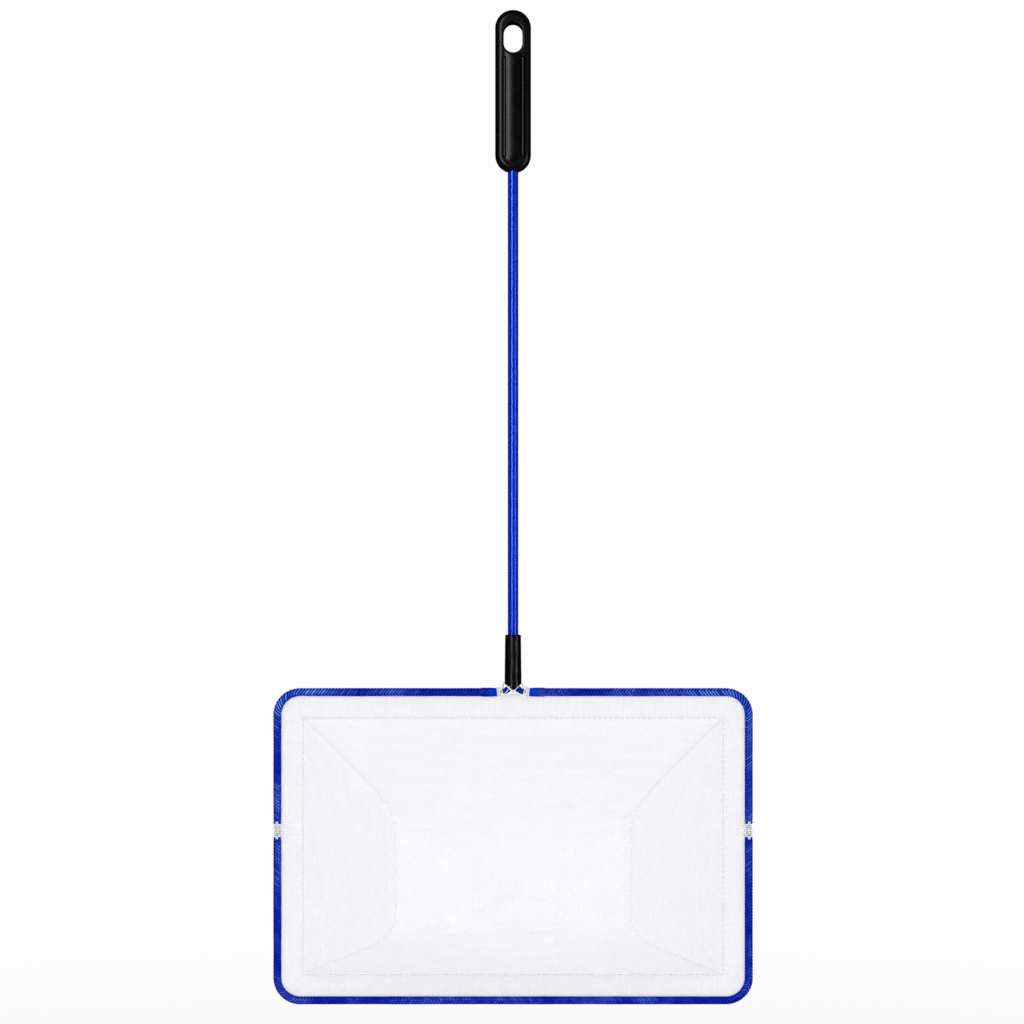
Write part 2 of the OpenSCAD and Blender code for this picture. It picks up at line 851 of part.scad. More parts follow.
// Corner of the hem drawn up beside the sleeve, seated on the winding
module hem_tab_right() {
    tab_x = sleeve_mouth_d / 2 + 3 * fit;
    tab_z = bar_z + hem_r + thread_d + 2 * fit;
    color("#e4e4ea")
        rotate([90, 0, 0])
            linear_extrude(band_t, center = true)
                polygon([
                    [tab_x, tab_z],
                    [tab_x + tab_w, tab_z],
                    [tab_x + tab_w / 2, tab_z + tab_h / 3],
                    [tab_x, tab_z + tab_h]
                ]);
}

module hem_tab_left() {
    mirror([1, 0, 0]) hem_tab_right();
}

grip();
stem_tube();
neck_sleeve();
frame_wire();
hem_roll();
binding_upper_left();
binding_upper_right();
binding_lower();
rim_band();
rim_seam();
bag_main_panel();
bag_gusset_left();
bag_gusset_right();
gusset_seam_left();
gusset_seam_right();
side_lashing_left();
side_lashing_right();
neck_lashing();
hem_tab_left();
hem_tab_right();
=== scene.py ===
import math

import bmesh
import bpy
import numpy as np
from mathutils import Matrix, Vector


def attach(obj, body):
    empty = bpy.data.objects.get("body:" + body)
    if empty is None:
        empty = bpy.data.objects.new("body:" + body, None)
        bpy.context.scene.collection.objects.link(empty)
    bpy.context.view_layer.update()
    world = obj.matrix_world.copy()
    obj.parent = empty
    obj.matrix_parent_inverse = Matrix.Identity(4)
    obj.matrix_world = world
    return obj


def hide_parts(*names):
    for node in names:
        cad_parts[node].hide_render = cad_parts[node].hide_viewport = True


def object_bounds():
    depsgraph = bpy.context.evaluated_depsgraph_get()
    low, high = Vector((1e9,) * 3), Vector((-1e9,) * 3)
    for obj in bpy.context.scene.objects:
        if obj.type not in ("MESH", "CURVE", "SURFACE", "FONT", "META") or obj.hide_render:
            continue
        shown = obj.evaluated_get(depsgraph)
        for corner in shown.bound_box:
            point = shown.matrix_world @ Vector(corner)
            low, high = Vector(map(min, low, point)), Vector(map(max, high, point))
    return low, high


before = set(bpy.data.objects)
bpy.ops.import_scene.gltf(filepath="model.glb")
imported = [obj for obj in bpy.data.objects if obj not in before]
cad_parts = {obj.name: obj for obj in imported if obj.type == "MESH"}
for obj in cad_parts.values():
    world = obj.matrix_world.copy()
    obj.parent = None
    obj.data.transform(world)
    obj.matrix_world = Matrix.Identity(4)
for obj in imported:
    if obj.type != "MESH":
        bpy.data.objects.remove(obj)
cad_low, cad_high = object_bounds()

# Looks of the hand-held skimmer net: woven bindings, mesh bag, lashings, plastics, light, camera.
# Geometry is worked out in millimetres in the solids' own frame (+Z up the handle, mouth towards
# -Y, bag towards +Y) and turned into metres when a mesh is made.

MM = 0.001
TURN = 2 * math.pi
BACK = np.array([0.0, 1.0, 0.0])
CLOTH_UV = "Cloth"
SIDES = {"right": 1, "left": -1}

# Frame: centreline of the wire, the roll of mesh round it and the bindings over that
SIDE_X = 124.9
BAR_Z = -349.2
BOTTOM_Z = -512.5
MID_Z = (BAR_Z + BOTTOM_Z) / 2
HALF_Z = (BAR_Z - BOTTOM_Z) / 2
CORNER_R = 12.1
HEM_R = 1.55
HEM_GAP = 5.3
BINDING_R = 2.1
BINDING_BORE_R = 1.62
BINDING_START = 8.1
CUFF_LEN = 9.0
CUFF_END = BINDING_START + CUFF_LEN
CUFF_EDGE = 0.9
CUFF_RISE = 0.25
BINDING_GAP = 5.6
SLIT = 0.9
LASHING_Z = -422.1
FRAME_LENGTH = 4 * (SIDE_X + HALF_Z - 2 * CORNER_R) + TURN * CORNER_R
# Distance along the frame from the middle of its top bar to the lashing on its right side
LASHING_AT = SIDE_X - CORNER_R + CORNER_R * math.pi / 2 + BAR_Z - CORNER_R - LASHING_Z

# Braid of the bindings: pitch of its strands, their slant, rows of floats round the binding, how
# softly a strand dives under, how much of its height is left there, and the height in millimetres
BRAID_PITCH = 1.7
BRAID_SLANT = 0.75
BRAID_ROWS = 2
BRAID_SOFT = 0.3
BRAID_UNDER = 0.35
BRAID_RELIEF = 0.22
HALF_ROW = math.pi * BINDING_R / BRAID_ROWS
# How far the braid is pushed together at the neck, and where, from there, its colour is painted
# lighter as a glint round the upper corners
CUFF_GATHER = 0.7
GLINT_AT = 114.0
GLINT_HALF = 34.0
BINDING_STEP = 0.22
BINDING_SIDES = 36
BINDING_INSIDE = 9

# Sleeve that joins the stem to the frame
SLEEVE_R = 4.55
SLEEVE_TIP_Z = -349.0
NOTCH_H = 4.5

# Band of mesh inside the hem, with its seam
NET_PITCH = 0.62
BAND_INNER = 13.4
BAND_T = 0.5
BAND_ROWS = 13
BAND_COUNTS = (110, 66, 110, 66)
BAND_BEND = 10
BAND_LEAST_R = 0.5
SEAM_INSET = 14.1
SEAM_X = SIDE_X - SEAM_INSET
SEAM_HZ = HALF_Z - SEAM_INSET
SEAM_CORNER_R = 1.5
RIM_SEAM_R = 0.58
GUSSET_SEAM_R = 0.42
OUTLINE_STEP = 0.8
SEAM_STEP = 0.9

# Bag: a loft from the rim seam back to the floor, which hangs lower than the frame's middle
BAG_Y = 0.75
BAG_DEPTH = 62.0
FLOOR_W = 133.4
FLOOR_H = 70.7
BAG_SAG = 24.9
FOLD_POWER = 8
SOFT_FOLD_POWER = 4
FLOOR_BELLY = 5.0
WALL_DROOP = 4.0
GUSSET_BELLY = 3.0
BAG_ROWS = 92
BAG_COLS = 84
GUSSET_LAST_REACH = 0.985

# The bag's settling as a cloth: frames, the farthest that a point may move, and the cloth itself
SETTLE_STEPS = 36
SETTLE_CAP = 3.2
CLOTH = {
    "quality": 7,
    "mass": 0.0007,
    "air_damping": 2.0,
    "tension_stiffness": 12,
    "compression_stiffness": 12,
    "shear_stiffness": 3,
    "bending_stiffness": 0.25,
    "tension_damping": 5,
    "compression_damping": 5,
}

# Thread: its radius, the steps and sides of its mesh, and its twist, a turn in so many radii
THREAD_R = 0.25
THREAD_STEP = 0.16
THREAD_SIDES = 9
THREAD_TWIST = 5.0
PLY_RELIEF = 0.16
PLY_PITCH = 0.62
THREAD_PITCH = 1.05
NECK_PITCH = 0.8
SIDE_TURNS = 7
NECK_TURNS = 4
STITCH_PITCH = 2.9
STITCH_LENGTH = 2.2
STITCH_R = 0.12
STITCH_POINTS = 7
TIP_SHARE = 0.05

# Strands drawn from the bindings' ends into the sleeve: their legs in the sleeve, their bend out to
# the bar, how far in front of the wire they lie, and the place on the braid whose colours they have
TAIL_LEG_X = 1.25
TAIL_BEND_R = 7.0
TAIL_R = 1.0
TAIL_RELIEF = 0.05
TAIL_Y = -0.3
TAIL_BRAID_AT = 200.0

# Specular levels, low because the gloss panels are strong; the tints of the highlights; and how far
# a surface turns from the view, 0 to 1, while its gloss fades
BLACK_GLOSS = 0.026
STEM_GLOSS = 0.36
WIRE_GLOSS = 0.06
BINDING_GLOSS = 0.16
STEM_TINT = (0.075, 0.16, 0.8, 1.0)
BINDING_TINT = (0.3, 0.46, 1.0, 1.0)
FLAG_FROM, FLAG_TO = 0.12, 0.44

# The nets: the share that their threads cover, and their darker and lighter white. The copies for
# the double band, the roll and the seam ridges are painted lighter than the bag's net, so that they
# render about as bright as it; the seam's copy is nearly pure white, to cancel the shade on its
# narrow ridges.
NETS = {
    "mesh_white": (0.64, (231, 231, 234), (243, 243, 245)),
    "mesh_white_double": (0.68, (236, 236, 239), (245, 245, 247)),
    "mesh_white_rolled": (0.9, (240, 240, 243), (250, 250, 252)),
    "mesh_white_seam": (0.42, (250, 250, 251), (255, 255, 255)),
}

# Camera and studio
CAMERA_AT = (-0.00056, -1.2, -0.25374)
FOCAL_MM = 79.6
SENSOR_MM = 36.0
FLOOR_Z = -1.05
FLOOR_RINGS = (0.001, 0.5, 1.0, 2.0, 4.0, 9.0)
FLOOR_SIDES = 64
FILL_LEVEL = 0.85
WHITE_LEVEL = 0.985
WHITE = (1, 1, 1, 1)


# -------- vectors and meshes


def mix(a, b, t):
    return a + (b - a) * t


def smooth(t):
    t = np.clip(t, 0.0, 1.0)
    return t * t * (3 - 2 * t)


def bell(distance, width):
    """1 at no distance, and near 0 from two widths on."""
    return np.exp(-((distance / width) ** 2))


def unit(v):
    return v / np.maximum(np.linalg.norm(v, axis=-1, keepdims=True), 1e-12)


def xyz(x, y, z):
    """Points out of their coordinates."""
    return np.stack(np.broadcast_arrays(x, y, z), -1)


def circle(count):
    """Angles of a full turn, evenly spaced."""
    return np.linspace(0, TURN, count, endpoint=False)


def looped(path):
    return np.concatenate([path, path[:1]])


def lengths_along(path):
    """Distance from the path's first point to each of its points."""
    steps = np.linalg.norm(np.diff(path, axis=0), axis=-1)
    return np.concatenate([[0.0], np.cumsum(steps)])


def sampled(path, at, places):
    """The path at some distances along it; at has those of its own points."""
    return np.stack([np.interp(places, at, path[:, k]) for k in range(3)], -1)


def evenly(path, step):
    """The same path with points about one step apart."""
    at = lengths_along(path)
    return sampled(path, at, np.linspace(0, at[-1], max(2, round(at[-1] / step) + 1)))


def carried_sides(path, first):
    """Two vectors across an open path at each point, carried along it without twist."""
    ahead = np.roll(path, -1, 0) - np.roll(path, 1, 0)
    ahead[0], ahead[-1] = path[1] - path[0], path[-1] - path[-2]
    along = unit(ahead)
    side = np.empty_like(path)
    n = np.array(first, float)
    for i, d in enumerate(along):
        n = n - (n @ d) * d
        n = n / np.linalg.norm(n)
        side[i] = n
    return side, np.cross(along, side)


def grid_faces(row_at, col_at, closed=False, around=False):
    """Quads of a grid and the UV of their corners. row_at and col_at are the places of the grid's
    lines in millimetres, one more of them where the grid closes on itself."""
    rows, cols = len(row_at) - closed, len(col_at) - around
    i, j = np.meshgrid(np.arange(len(row_at) - 1), np.arange(len(col_at) - 1), indexing="ij")
    i, j = i.ravel(), j.ravel()
    corners = [(i, j), (i, j + 1), (i + 1, j + 1), (i + 1, j)]
    quads = np.stack([(a % rows) * cols + b % cols for a, b in corners], -1)
    uvs = np.stack([np.stack([col_at[b], row_at[a]], -1) for a, b in corners], 1)
    return quads, uvs


def join_parts(parts):
    """One set of points, faces and UVs out of several."""
    points, faces, uvs = zip(*parts)
    starts = np.cumsum([0] + [len(p) for p in points])
    faces = [f + start for f, start in zip(faces, starts)]
    return np.concatenate(points), np.concatenate(faces), np.concatenate(uvs)


def add_object(name, data):
    obj = bpy.data.objects.new(name, data)
    bpy.context.scene.collection.objects.link(obj)
    return obj


def make_object(name, points, quads, uvs, material):
    mesh = bpy.data.meshes.new(name)
    mesh.from_pydata((points * MM).tolist(), [], quads.tolist())
    layer = mesh.uv_layers.new(name=CLOTH_UV)
    layer.data.foreach_set("uv", uvs.astype(np.float32).ravel())
    mesh.polygons.foreach_set("use_smooth", [True] * len(mesh.polygons))
    mesh.materials.append(material)
    return add_object(name, mesh)


def rings(path, radii, angles, side, up):
    """Points round a path. radii has one row for each of its points, one column for each angle."""
    up = np.broadcast_to(up, path.shape)
    ring = radii[..., None] * (
        np.cos(angles)[None, :, None] * side[:, None, :]
        + np.sin(angles)[None, :, None] * up[:, None, :]
    )
    return (path[:, None, :] + ring).reshape(-1, 3)


def tube_part(path, radii, side, up, closed=False):
    """A tube round a path, whose ends are drawn in to a blunt tip unless the path is closed."""
    up = np.broadcast_to(up, path.shape)
    if not closed:
        path, radii, side, up = (
            np.concatenate([a[:1], a, a[-1:]]) for a in (path, radii, side, up)
        )
        radii[[0, -1]] *= TIP_SHARE
    cols = radii.shape[1]
    row_at = lengths_along(looped(path) if closed else path)
    col_at = np.linspace(0, TURN * radii.mean(), cols + 1)
    points = rings(path, radii, circle(cols), side, up)
    return points, *grid_faces(row_at, col_at, closed, True)


def thread_part(path, radius=THREAD_R, first=BACK):
    """Two-ply twisted thread along a path."""
    path = evenly(path, THREAD_STEP)
    side, up = carried_sides(path, first)
    twist = lengths_along(path)[:, None] * (TURN / (THREAD_TWIST * radius))
    ply = np.cos(2 * (circle(THREAD_SIDES)[None, :] - twist / 2))
    return tube_part(path, radius * (1 + PLY_RELIEF * ply), side, up)


def bezier(controls, count):
    """Points of a cubic curve with four control points."""
    a, b, c, d = np.asarray(controls, float)
    t = np.linspace(0, 1, count)[:, None]
    return (1 - t) ** 3 * a + 3 * (1 - t) ** 2 * t * b + 3 * (1 - t) * t * t * c + t**3 * d


def mirrored(part):
    points, quads, uvs = part
    return points * [-1, 1, 1], quads[:, ::-1], uvs[:, ::-1]


def smooth_noise(places, wavelengths, seed):
    """Sum of a few sines of seeded phase, for slow unevenness along a path. Between -1 and 1."""
    rng = np.random.default_rng(seed)
    total = sum(np.sin(TURN * (places / w + rng.random())) for w in wavelengths)
    return total / len(wavelengths)


# -------- materials


def srgb(red, green, blue):
    """A linear colour from an sRGB one of 0 to 255."""
    parts = (c / 255 for c in (red, green, blue))
    return (*(p / 12.92 if p <= 0.04045 else ((p + 0.055) / 1.055) ** 2.4 for p in parts), 1.0)


class Nodes:
    """Short calls for building the node tree of a material or a world."""

    def __init__(self, owner, output_kind="ShaderNodeOutputMaterial"):
        owner.use_nodes = True
        self.owner = owner
        self.tree = owner.node_tree
        self.tree.nodes.clear()
        self.output = self.tree.nodes.new(output_kind)

    def set(self, socket, value):
        if isinstance(value, bpy.types.NodeSocket):
            self.tree.links.new(value, socket)
        else:
            socket.default_value = value

    def add(self, kind, inputs=(), **settings):
        node = self.tree.nodes.new(kind)
        for key, value in settings.items():
            setattr(node, key, value)
        for key, value in dict(inputs).items():
            self.set(node.inputs[key], value)
        return node

    def math(self, operation, a, b=0.0, c=0.0):
        return self.add("ShaderNodeMath", {0: a, 1: b, 2: c}, operation=operation).outputs[0]

    def remap(self, value, low, high, to_low, to_high):
        inputs = {0: value, 1: low, 2: high, 3: to_low, 4: to_high}
        return self.add("ShaderNodeMapRange", inputs).outputs[0]

    def stripes(self, value, pitch):
        """Round threads side by side: 1 on their crowns, 0 between them."""
        angle = self.math("MULTIPLY", value, math.pi / pitch)
        return self.math("ABSOLUTE", self.math("SINE", angle))

    def blend(self, factor, a, b):
        """A mix of two colours: the node's sockets for them come after those for other kinds."""
        return self.add("ShaderNodeMix", {0: factor, 6: a, 7: b}, data_type="RGBA").outputs[2]

    def place(self):
        return self.add("ShaderNodeTexCoord").outputs["Object"]

    def cloth_place(self):
        """The piece's own cloth coordinates, in millimetres across and along it."""
        uv = self.add("ShaderNodeUVMap", uv_map=CLOTH_UV).outputs[0]
        return self.add("ShaderNodeSeparateXYZ", {0: uv}).outputs[:2]

    def noise(self, scale, detail=2.0, roughness=0.5, stretch=None):
        place = self.place()
        if stretch:
            place = self.add("ShaderNodeMapping", {"Vector": place, "Scale": stretch}).outputs[0]
        inputs = {"Vector": place, "Scale": scale, "Detail": detail, "Roughness": roughness}
        return self.add("ShaderNodeTexNoise", inputs).outputs[0]

    def flagged_gloss(self, level):
        """A specular level that fades towards grazing views, as between a studio's dark flags."""
        facing = self.add("ShaderNodeLayerWeight", {"Blend": 0.5}).outputs["Facing"]
        return self.remap(facing, FLAG_FROM, FLAG_TO, level, 0.0)

    def bumps(self, *layers):
        """The normal under layers of relief, each given by its height, distance and strength."""
        normal = {}
        for height, distance, strength in layers:
            inputs = {"Height": height, "Distance": distance, "Strength": strength, **normal}
            normal = {"Normal": self.add("ShaderNodeBump", inputs).outputs[0]}
        return normal["Normal"]

    def principled(self, colour, rough, gloss=0.5, **more):
        """more has other inputs, with _ for the spaces in their names."""
        inputs = {"Base Color": colour, "Roughness": rough, "Specular IOR Level": gloss}
        inputs.update((key.replace("_", " "), value) for key, value in more.items())
        return self.add("ShaderNodeBsdfPrincipled", inputs).outputs[0]

    def mixed(self, share, first, second):
        return self.add("ShaderNodeMixShader", {0: share, 1: first, 2: second}).outputs[0]

    def thin(self, share, solid, colour, normal):
        """The solid shader, with a share of the light behind it let through."""
        inputs = {"Color": colour, "Normal": normal}
        return self.mixed(share, solid, self.add("ShaderNodeBsdfTranslucent", inputs).outputs[0])

    def finish(self, shader):
        self.tree.links.new(shader, self.output.inputs["Surface"])
        return self.owner


def material_nodes(name):
    return Nodes(bpy.data.materials.new(name))


def moulded_black():
    """Satin black plastic of the grip: fine moulding grain and faint rubbed patches."""
    n = material_nodes("grip_black")
    grain = n.noise(2600, detail=3)
    rubbed = n.noise(70, detail=3, roughness=0.6)
    colour = n.blend(rubbed, srgb(0, 0, 1), srgb(5, 5, 6))
    rough = n.math("ADD", n.remap(rubbed, 0.3, 0.7, 0.21, 0.29), n.remap(grain, 0, 1, -0.03, 0.03))
    normal = n.bumps((grain, 0.00003, 0.6), (rubbed, 0.0002, 0.35))
    return n.finish(n.principled(colour, rough, n.flagged_gloss(BLACK_GLOSS), Normal=normal))


def shrunk_black():
    """Rubbery black of the neck sleeve: shrunk on, slightly lumpy, with drawn-out streaks."""
    n = material_nodes("sleeve_black")
    lumps = n.noise(150, stretch=(1, 1, 0.45))
    streaks = n.noise(900, detail=3, stretch=(1, 1, 0.06))
    colour = n.blend(streaks, srgb(0, 0, 0), srgb(5, 5, 5))
    rough = n.remap(lumps, 0.3, 0.7, 0.18, 0.27)
    normal = n.bumps((lumps, 0.0009, 0.7), (streaks, 0.00008, 0.6))
    return n.finish(n.principled(colour, rough, n.flagged_gloss(BLACK_GLOSS), Normal=normal))


def stem_blue():
    """Glossy blue extruded tube with faint draw lines along it."""
    n = material_nodes("stem_blue")
    lines = n.noise(1500, stretch=(1, 1, 0.01))
    specks = n.noise(420, detail=4)
    colour = n.blend(n.math("MULTIPLY", lines, specks), srgb(0, 18, 140), srgb(0, 42, 190))
    rough = n.remap(specks, 0.3, 0.7, 0.14, 0.2)
    gloss, normal = n.flagged_gloss(STEM_GLOSS), n.bumps((lines, 0.00002, 0.3))
    return n.finish(n.principled(colour, rough, gloss, Normal=normal, Specular_Tint=STEM_TINT))


def coated_wire():
    """Blue PVC coat of the frame's wire, a little scuffed."""
    n = material_nodes("wire_coat")
    scuffs = n.noise(800, detail=4, roughness=0.65)
    colour = n.blend(scuffs, srgb(0, 10, 92), srgb(6, 38, 158))
    rough = n.remap(scuffs, 0.3, 0.7, 0.3, 0.48)
    normal = n.bumps((scuffs, 0.00005, 0.6))
    return n.finish(n.principled(colour, rough, n.flagged_gloss(WIRE_GLOSS), Normal=normal))


def binding_blue():
    """Braided blue binding. Two families of strands cross on the bias and float over each other in
    rows. The crowns of the floats are painted lighter as their highlight and the gaps between them
    darker as shade, each strand has its own tone, and painted glints lighten the strands in random
    patches and round the upper corners. The braid is also shinier in patches."""
    n = material_nodes("binding_blue")
    around, along = n.cloth_place()
    rows = n.math("SINE", n.math("MULTIPLY", around, BRAID_ROWS / BINDING_R))
    over = n.remap(rows, -BRAID_SOFT, BRAID_SOFT, 0.0, 1.0)
    crowns, tones = [], []
    for sign, share in ((1, over), (-1, n.math("SUBTRACT", 1.0, over))):
        slant = n.math("MULTIPLY_ADD", around, BRAID_SLANT * sign, along)
        strands = n.math("DIVIDE", slant, BRAID_PITCH)
        height = n.remap(share, 0, 1, BRAID_UNDER, 1.0)
        crowns.append(n.math("MULTIPLY", n.stripes(strands, 1), height))
        strand = n.math("ADD", n.math("FLOOR", strands), 500.0 * sign)
        drawn = n.add("ShaderNodeTexWhiteNoise", {"W": strand}, noise_dimensions="1D")
        tones.append(n.math("MULTIPLY", drawn.outputs["Value"], share))
    crown = n.math("MAXIMUM", *crowns)
    tone = n.math("ADD", *tones)
    patches = n.noise(38, detail=3, roughness=0.6)
    fibres = n.noise(5200)
    from_neck = n.math("MINIMUM", along, n.math("SUBTRACT", FRAME_LENGTH, along))
    cuff_end = BINDING_START + CUFF_LEN * (1 - CUFF_GATHER)
    cuff = n.remap(from_neck, cuff_end, BINDING_START, 0.0, 1.0)
    # Painted glint: the strands' colour is lightened in random patches and round the upper corners,
    # as if they caught the light there
    from_corner = n.math("ABSOLUTE", n.math("SUBTRACT", from_neck, GLINT_AT))
    corner_glint = n.remap(from_corner, 0.35 * GLINT_HALF, GLINT_HALF, 1.0, 0.0)
    glint_share = n.math("MAXIMUM", n.remap(patches, 0.45, 0.68, 0.05, 0.6), corner_glint)
    lit = n.math("MULTIPLY", n.remap(tone, 0, 1, 0.1, 1.0), glint_share)
    # The gaps between the strands' crowns are painted darker as shade, and the crowns lighter as
    # their highlight
    gap_shade = n.blend(patches, srgb(0, 4, 88), srgb(0, 14, 124))
    gap_shade = n.blend(cuff, gap_shade, srgb(0, 20, 150))
    light = n.blend(lit, srgb(0, 38, 196), srgb(92, 146, 255))
    light = n.blend(cuff, light, srgb(6, 62, 240))
    colour = n.blend(n.remap(crown, 0.55, 0.92, 0.0, 1.0), gap_shade, light)
    rough = n.math("ADD", n.remap(crown, 0.3, 1.0, 0.42, 0.24), n.remap(fibres, 0, 1, -0.06, 0.06))
    shiny = n.math(
        "MULTIPLY", n.remap(patches, 0.42, 0.62, 0.12, 1.0), n.remap(tone, 0, 1, 0.3, 1.0)
    )
    gloss = n.math("MULTIPLY", n.flagged_gloss(BINDING_GLOSS), shiny)
    normal = n.bumps((crown, 0.00014, 1.0), (fibres, 0.00004, 0.5))
    return n.finish(n.principled(colour, rough, gloss, Normal=normal, Specular_Tint=BINDING_TINT))


def mesh_white(name, cover, dark, light):
    """Fine white net: round threads with small holes between them, that let light through."""
    n = material_nodes(name)
    threads = n.math("MAXIMUM", *(n.stripes(place, NET_PITCH) for place in n.cloth_place()))
    cloudy = n.noise(55, detail=3, roughness=0.55)
    slubs = n.noise(900, stretch=(1, 1, 0.1))
    colour = n.blend(cloudy, srgb(*dark), srgb(*light))
    shade = n.remap(threads, 0.35, 0.95, cover - 0.16, cover + 0.08)
    shade = n.math("ADD", shade, n.remap(cloudy, 0.3, 0.7, -0.05, 0.05))
    shade = n.math("ADD", shade, n.remap(slubs, 0.3, 0.7, -0.03, 0.03))
    normal = n.bumps((threads, 0.00008, 0.35))
    cloth = n.thin(0.5, n.principled(colour, 0.72, 0.1, Normal=normal), colour, normal)
    clear = n.add("ShaderNodeBsdfTransparent").outputs[0]
    return n.finish(n.mixed(shade, clear, cloth))


def thread_white():
    """Twisted white polyester thread."""
    n = material_nodes("thread_white")
    ply = n.stripes(n.math("ADD", *n.cloth_place()), PLY_PITCH)
    fibres = n.noise(4200)
    # The grooves between the plies are painted a little darker, as shade
    colour = n.blend(ply, srgb(236, 237, 242), srgb(254, 254, 255))
    rough = n.remap(fibres, 0.2, 0.8, 0.45, 0.65)
    normal = n.bumps((ply, 0.00006, 0.5), (fibres, 0.00003, 0.5))
    solid = n.principled(colour, rough, Normal=normal, Sheen_Weight=0.15)
    return n.finish(n.thin(0.15, solid, colour, normal))


# -------- runs along the frame


def outline(inset, radius, counts, bend):
    """Closed outline inside the wire's centreline, clockwise from its top left as seen from -Y, and
    the outward direction at each point. counts has the points of each side, and bend a corner's."""
    x, z = SIDE_X - inset - radius, HALF_Z - inset - radius
    centres = xyz(np.array([x, x, -x, -x]), 0.0, MID_Z + np.array([z, -z, -z, z]))
    points, outs = [], []
    for k, count in enumerate(counts):
        bent = np.concatenate([np.zeros(count), np.arange(bend) / bend])
        angle = TURN / 4 * (1 - k - bent)
        along = np.concatenate([np.arange(count) / count, np.ones(bend)])[:, None]
        out = xyz(np.cos(angle), 0.0, np.sin(angle))
        outs.append(out)
        points.append(mix(centres[k - 1], centres[k], along) + radius * out)
    return np.concatenate(points), np.concatenate(outs)


def rounded_outline(inset, radius, step):
    """The outline with points about one step apart, from the middle of its top side."""
    half, side = SIDE_X - inset - radius, 2 * (HALF_Z - inset - radius)
    half, whole, side = (max(2, round(length / step)) for length in (half, 2 * half, side))
    bend = max(4, round(radius * math.pi / 2 / step))
    points, outs = outline(inset, radius, (2 * half, side, whole, side), bend)
    return np.roll(points, -half, 0), np.roll(outs, -half, 0)


def frame_run(start, end, step):
    """Part of the frame's centreline between two distances from the middle of the top bar."""
    path, out = (looped(a) for a in rounded_outline(0, CORNER_R, 0.5))
    at = lengths_along(path)
    places = np.linspace(start, end, round((end - start) / step) + 1)
    return places, sampled(path, at, places), unit(sampled(out, at, places))


# -------- bindings


def braid_height(around, along):
    """Height, 0 to 1, of the braid's surface: strands on the bias whose floats lie in rows."""
    over = (np.clip(np.sin(around * BRAID_ROWS / BINDING_R) / BRAID_SOFT, -1, 1) + 1) / 2
    heights = [
        np.abs(np.sin(math.pi * (along + sign * BRAID_SLANT * around) / BRAID_PITCH))
        * mix(BRAID_UNDER, 1, share)
        for sign, share in ((1, over), (-1, 1 - over))
    ]
    return np.maximum(*heights)


def neck_distance(places):
    """How far places along the frame are from the middle of the neck, either way round."""
    return np.minimum(places, FRAME_LENGTH - places)


def cuff_share(places):
    """1 on a binding's gathered end at the neck, 0 on the rest of it."""
    return 1 - smooth((neck_distance(places) - CUFF_END + CUFF_EDGE) / CUFF_EDGE)


def braid_places(places):
    """The distance along the braid at places along the frame: it is pushed together at the neck."""
    gathered = CUFF_GATHER * np.maximum(0, CUFF_END - neck_distance(places))
    return places + np.where(places < FRAME_LENGTH / 2, -gathered, gathered)


def binding_part(start, end, twist, seed):
    """A slit braided sleeve round the hem: its strands stand proud of its outside, it swells and
    thins a little along its length, and its cut ends curl in. twist is how far it is turned round
    the hem at its two ends."""
    places, path, out = frame_run(start, end, BINDING_STEP)
    lip_angle = math.pi - SLIT / 2 / BINDING_R
    outer = np.linspace(-lip_angle, lip_angle, BINDING_SIDES)
    inner = np.linspace(lip_angle, -lip_angle, BINDING_INSIDE)
    swell = 0.05 * smooth_noise(places, (61, 37, 19), seed)
    from_end = np.minimum(places - start, end - places)
    pinch = -0.22 * (1 - smooth(from_end / 3.5)) - 0.05 * (1 - smooth(from_end / 14))

    def turned(at):
        share = (at - start) / (end - start)
        return mix(*twist, share) + 0.5 * smooth_noise(at, (83, 47), seed + 1)

    around = outer[None, :] * BINDING_R + turned(places)[:, None]
    relief = BRAID_RELIEF * (braid_height(around, braid_places(places)[:, None]) - 0.5)
    lip = 0.05 * smooth((np.abs(outer[None, :]) / lip_angle - 0.9) / 0.1)
    slow = swell + pinch + CUFF_RISE * cuff_share(places)
    outside = BINDING_R - 0.02 + slow[:, None] + relief + lip
    inside = np.repeat(np.minimum(BINDING_BORE_R, outside[:, :1] - 0.1), BINDING_INSIDE, 1)
    radii = np.concatenate([outside, inside], 1)
    angles = np.concatenate([outer, inner])
    quads, uvs = grid_faces(places, looped(angles) * BINDING_R, around=True)
    uvs[..., 0] += turned(uvs[..., 1])
    uvs[..., 1] = braid_places(uvs[..., 1])
    return rings(path, radii, angles, out, BACK), quads, uvs


def make_bindings(material):
    """The three bindings: where each starts and ends, its twist in half rows, and its seed."""
    upper_end, lower_start = LASHING_AT - BINDING_GAP / 2, LASHING_AT + BINDING_GAP / 2
    left_end = FRAME_LENGTH - BINDING_START
    runs = {
        "binding_upper_right": (BINDING_START, upper_end, (0.1, -0.8), 11),
        "binding_upper_left": (FRAME_LENGTH - upper_end, left_end, (0.3, 0.5), 12),
        "binding_lower": (lower_start, FRAME_LENGTH - lower_start, (-0.4, 0.5), 13),
    }
    for node, (start, end, twist, seed) in runs.items():
        part = binding_part(start, end, np.multiply(twist, HALF_ROW), seed)
        add_piece("Woven_" + node, part, material, node)


# -------- rim: hem roll, band and seam


def hem_part():
    """Mesh rolled round the wire: a spiral section with a lapped edge and small drawn-up puckers.
    It leaves the wire bare under the sleeve."""
    places, path, out = frame_run(HEM_GAP, FRAME_LENGTH - HEM_GAP, OUTLINE_STEP)
    turn = (circle(20)[None, :] / TURN + 0.02 * smooth_noise(places, (9, 5), 3)[:, None]) % 1
    pucker = 0.04 * np.sin(TURN * (places[:, None] / 2.3 + 2 * turn))
    radii = HEM_R - 0.12 + 0.14 * turn + pucker * smooth(turn * 4)
    return tube_part(path, np.minimum(radii, HEM_R + 0.03), out, BACK)


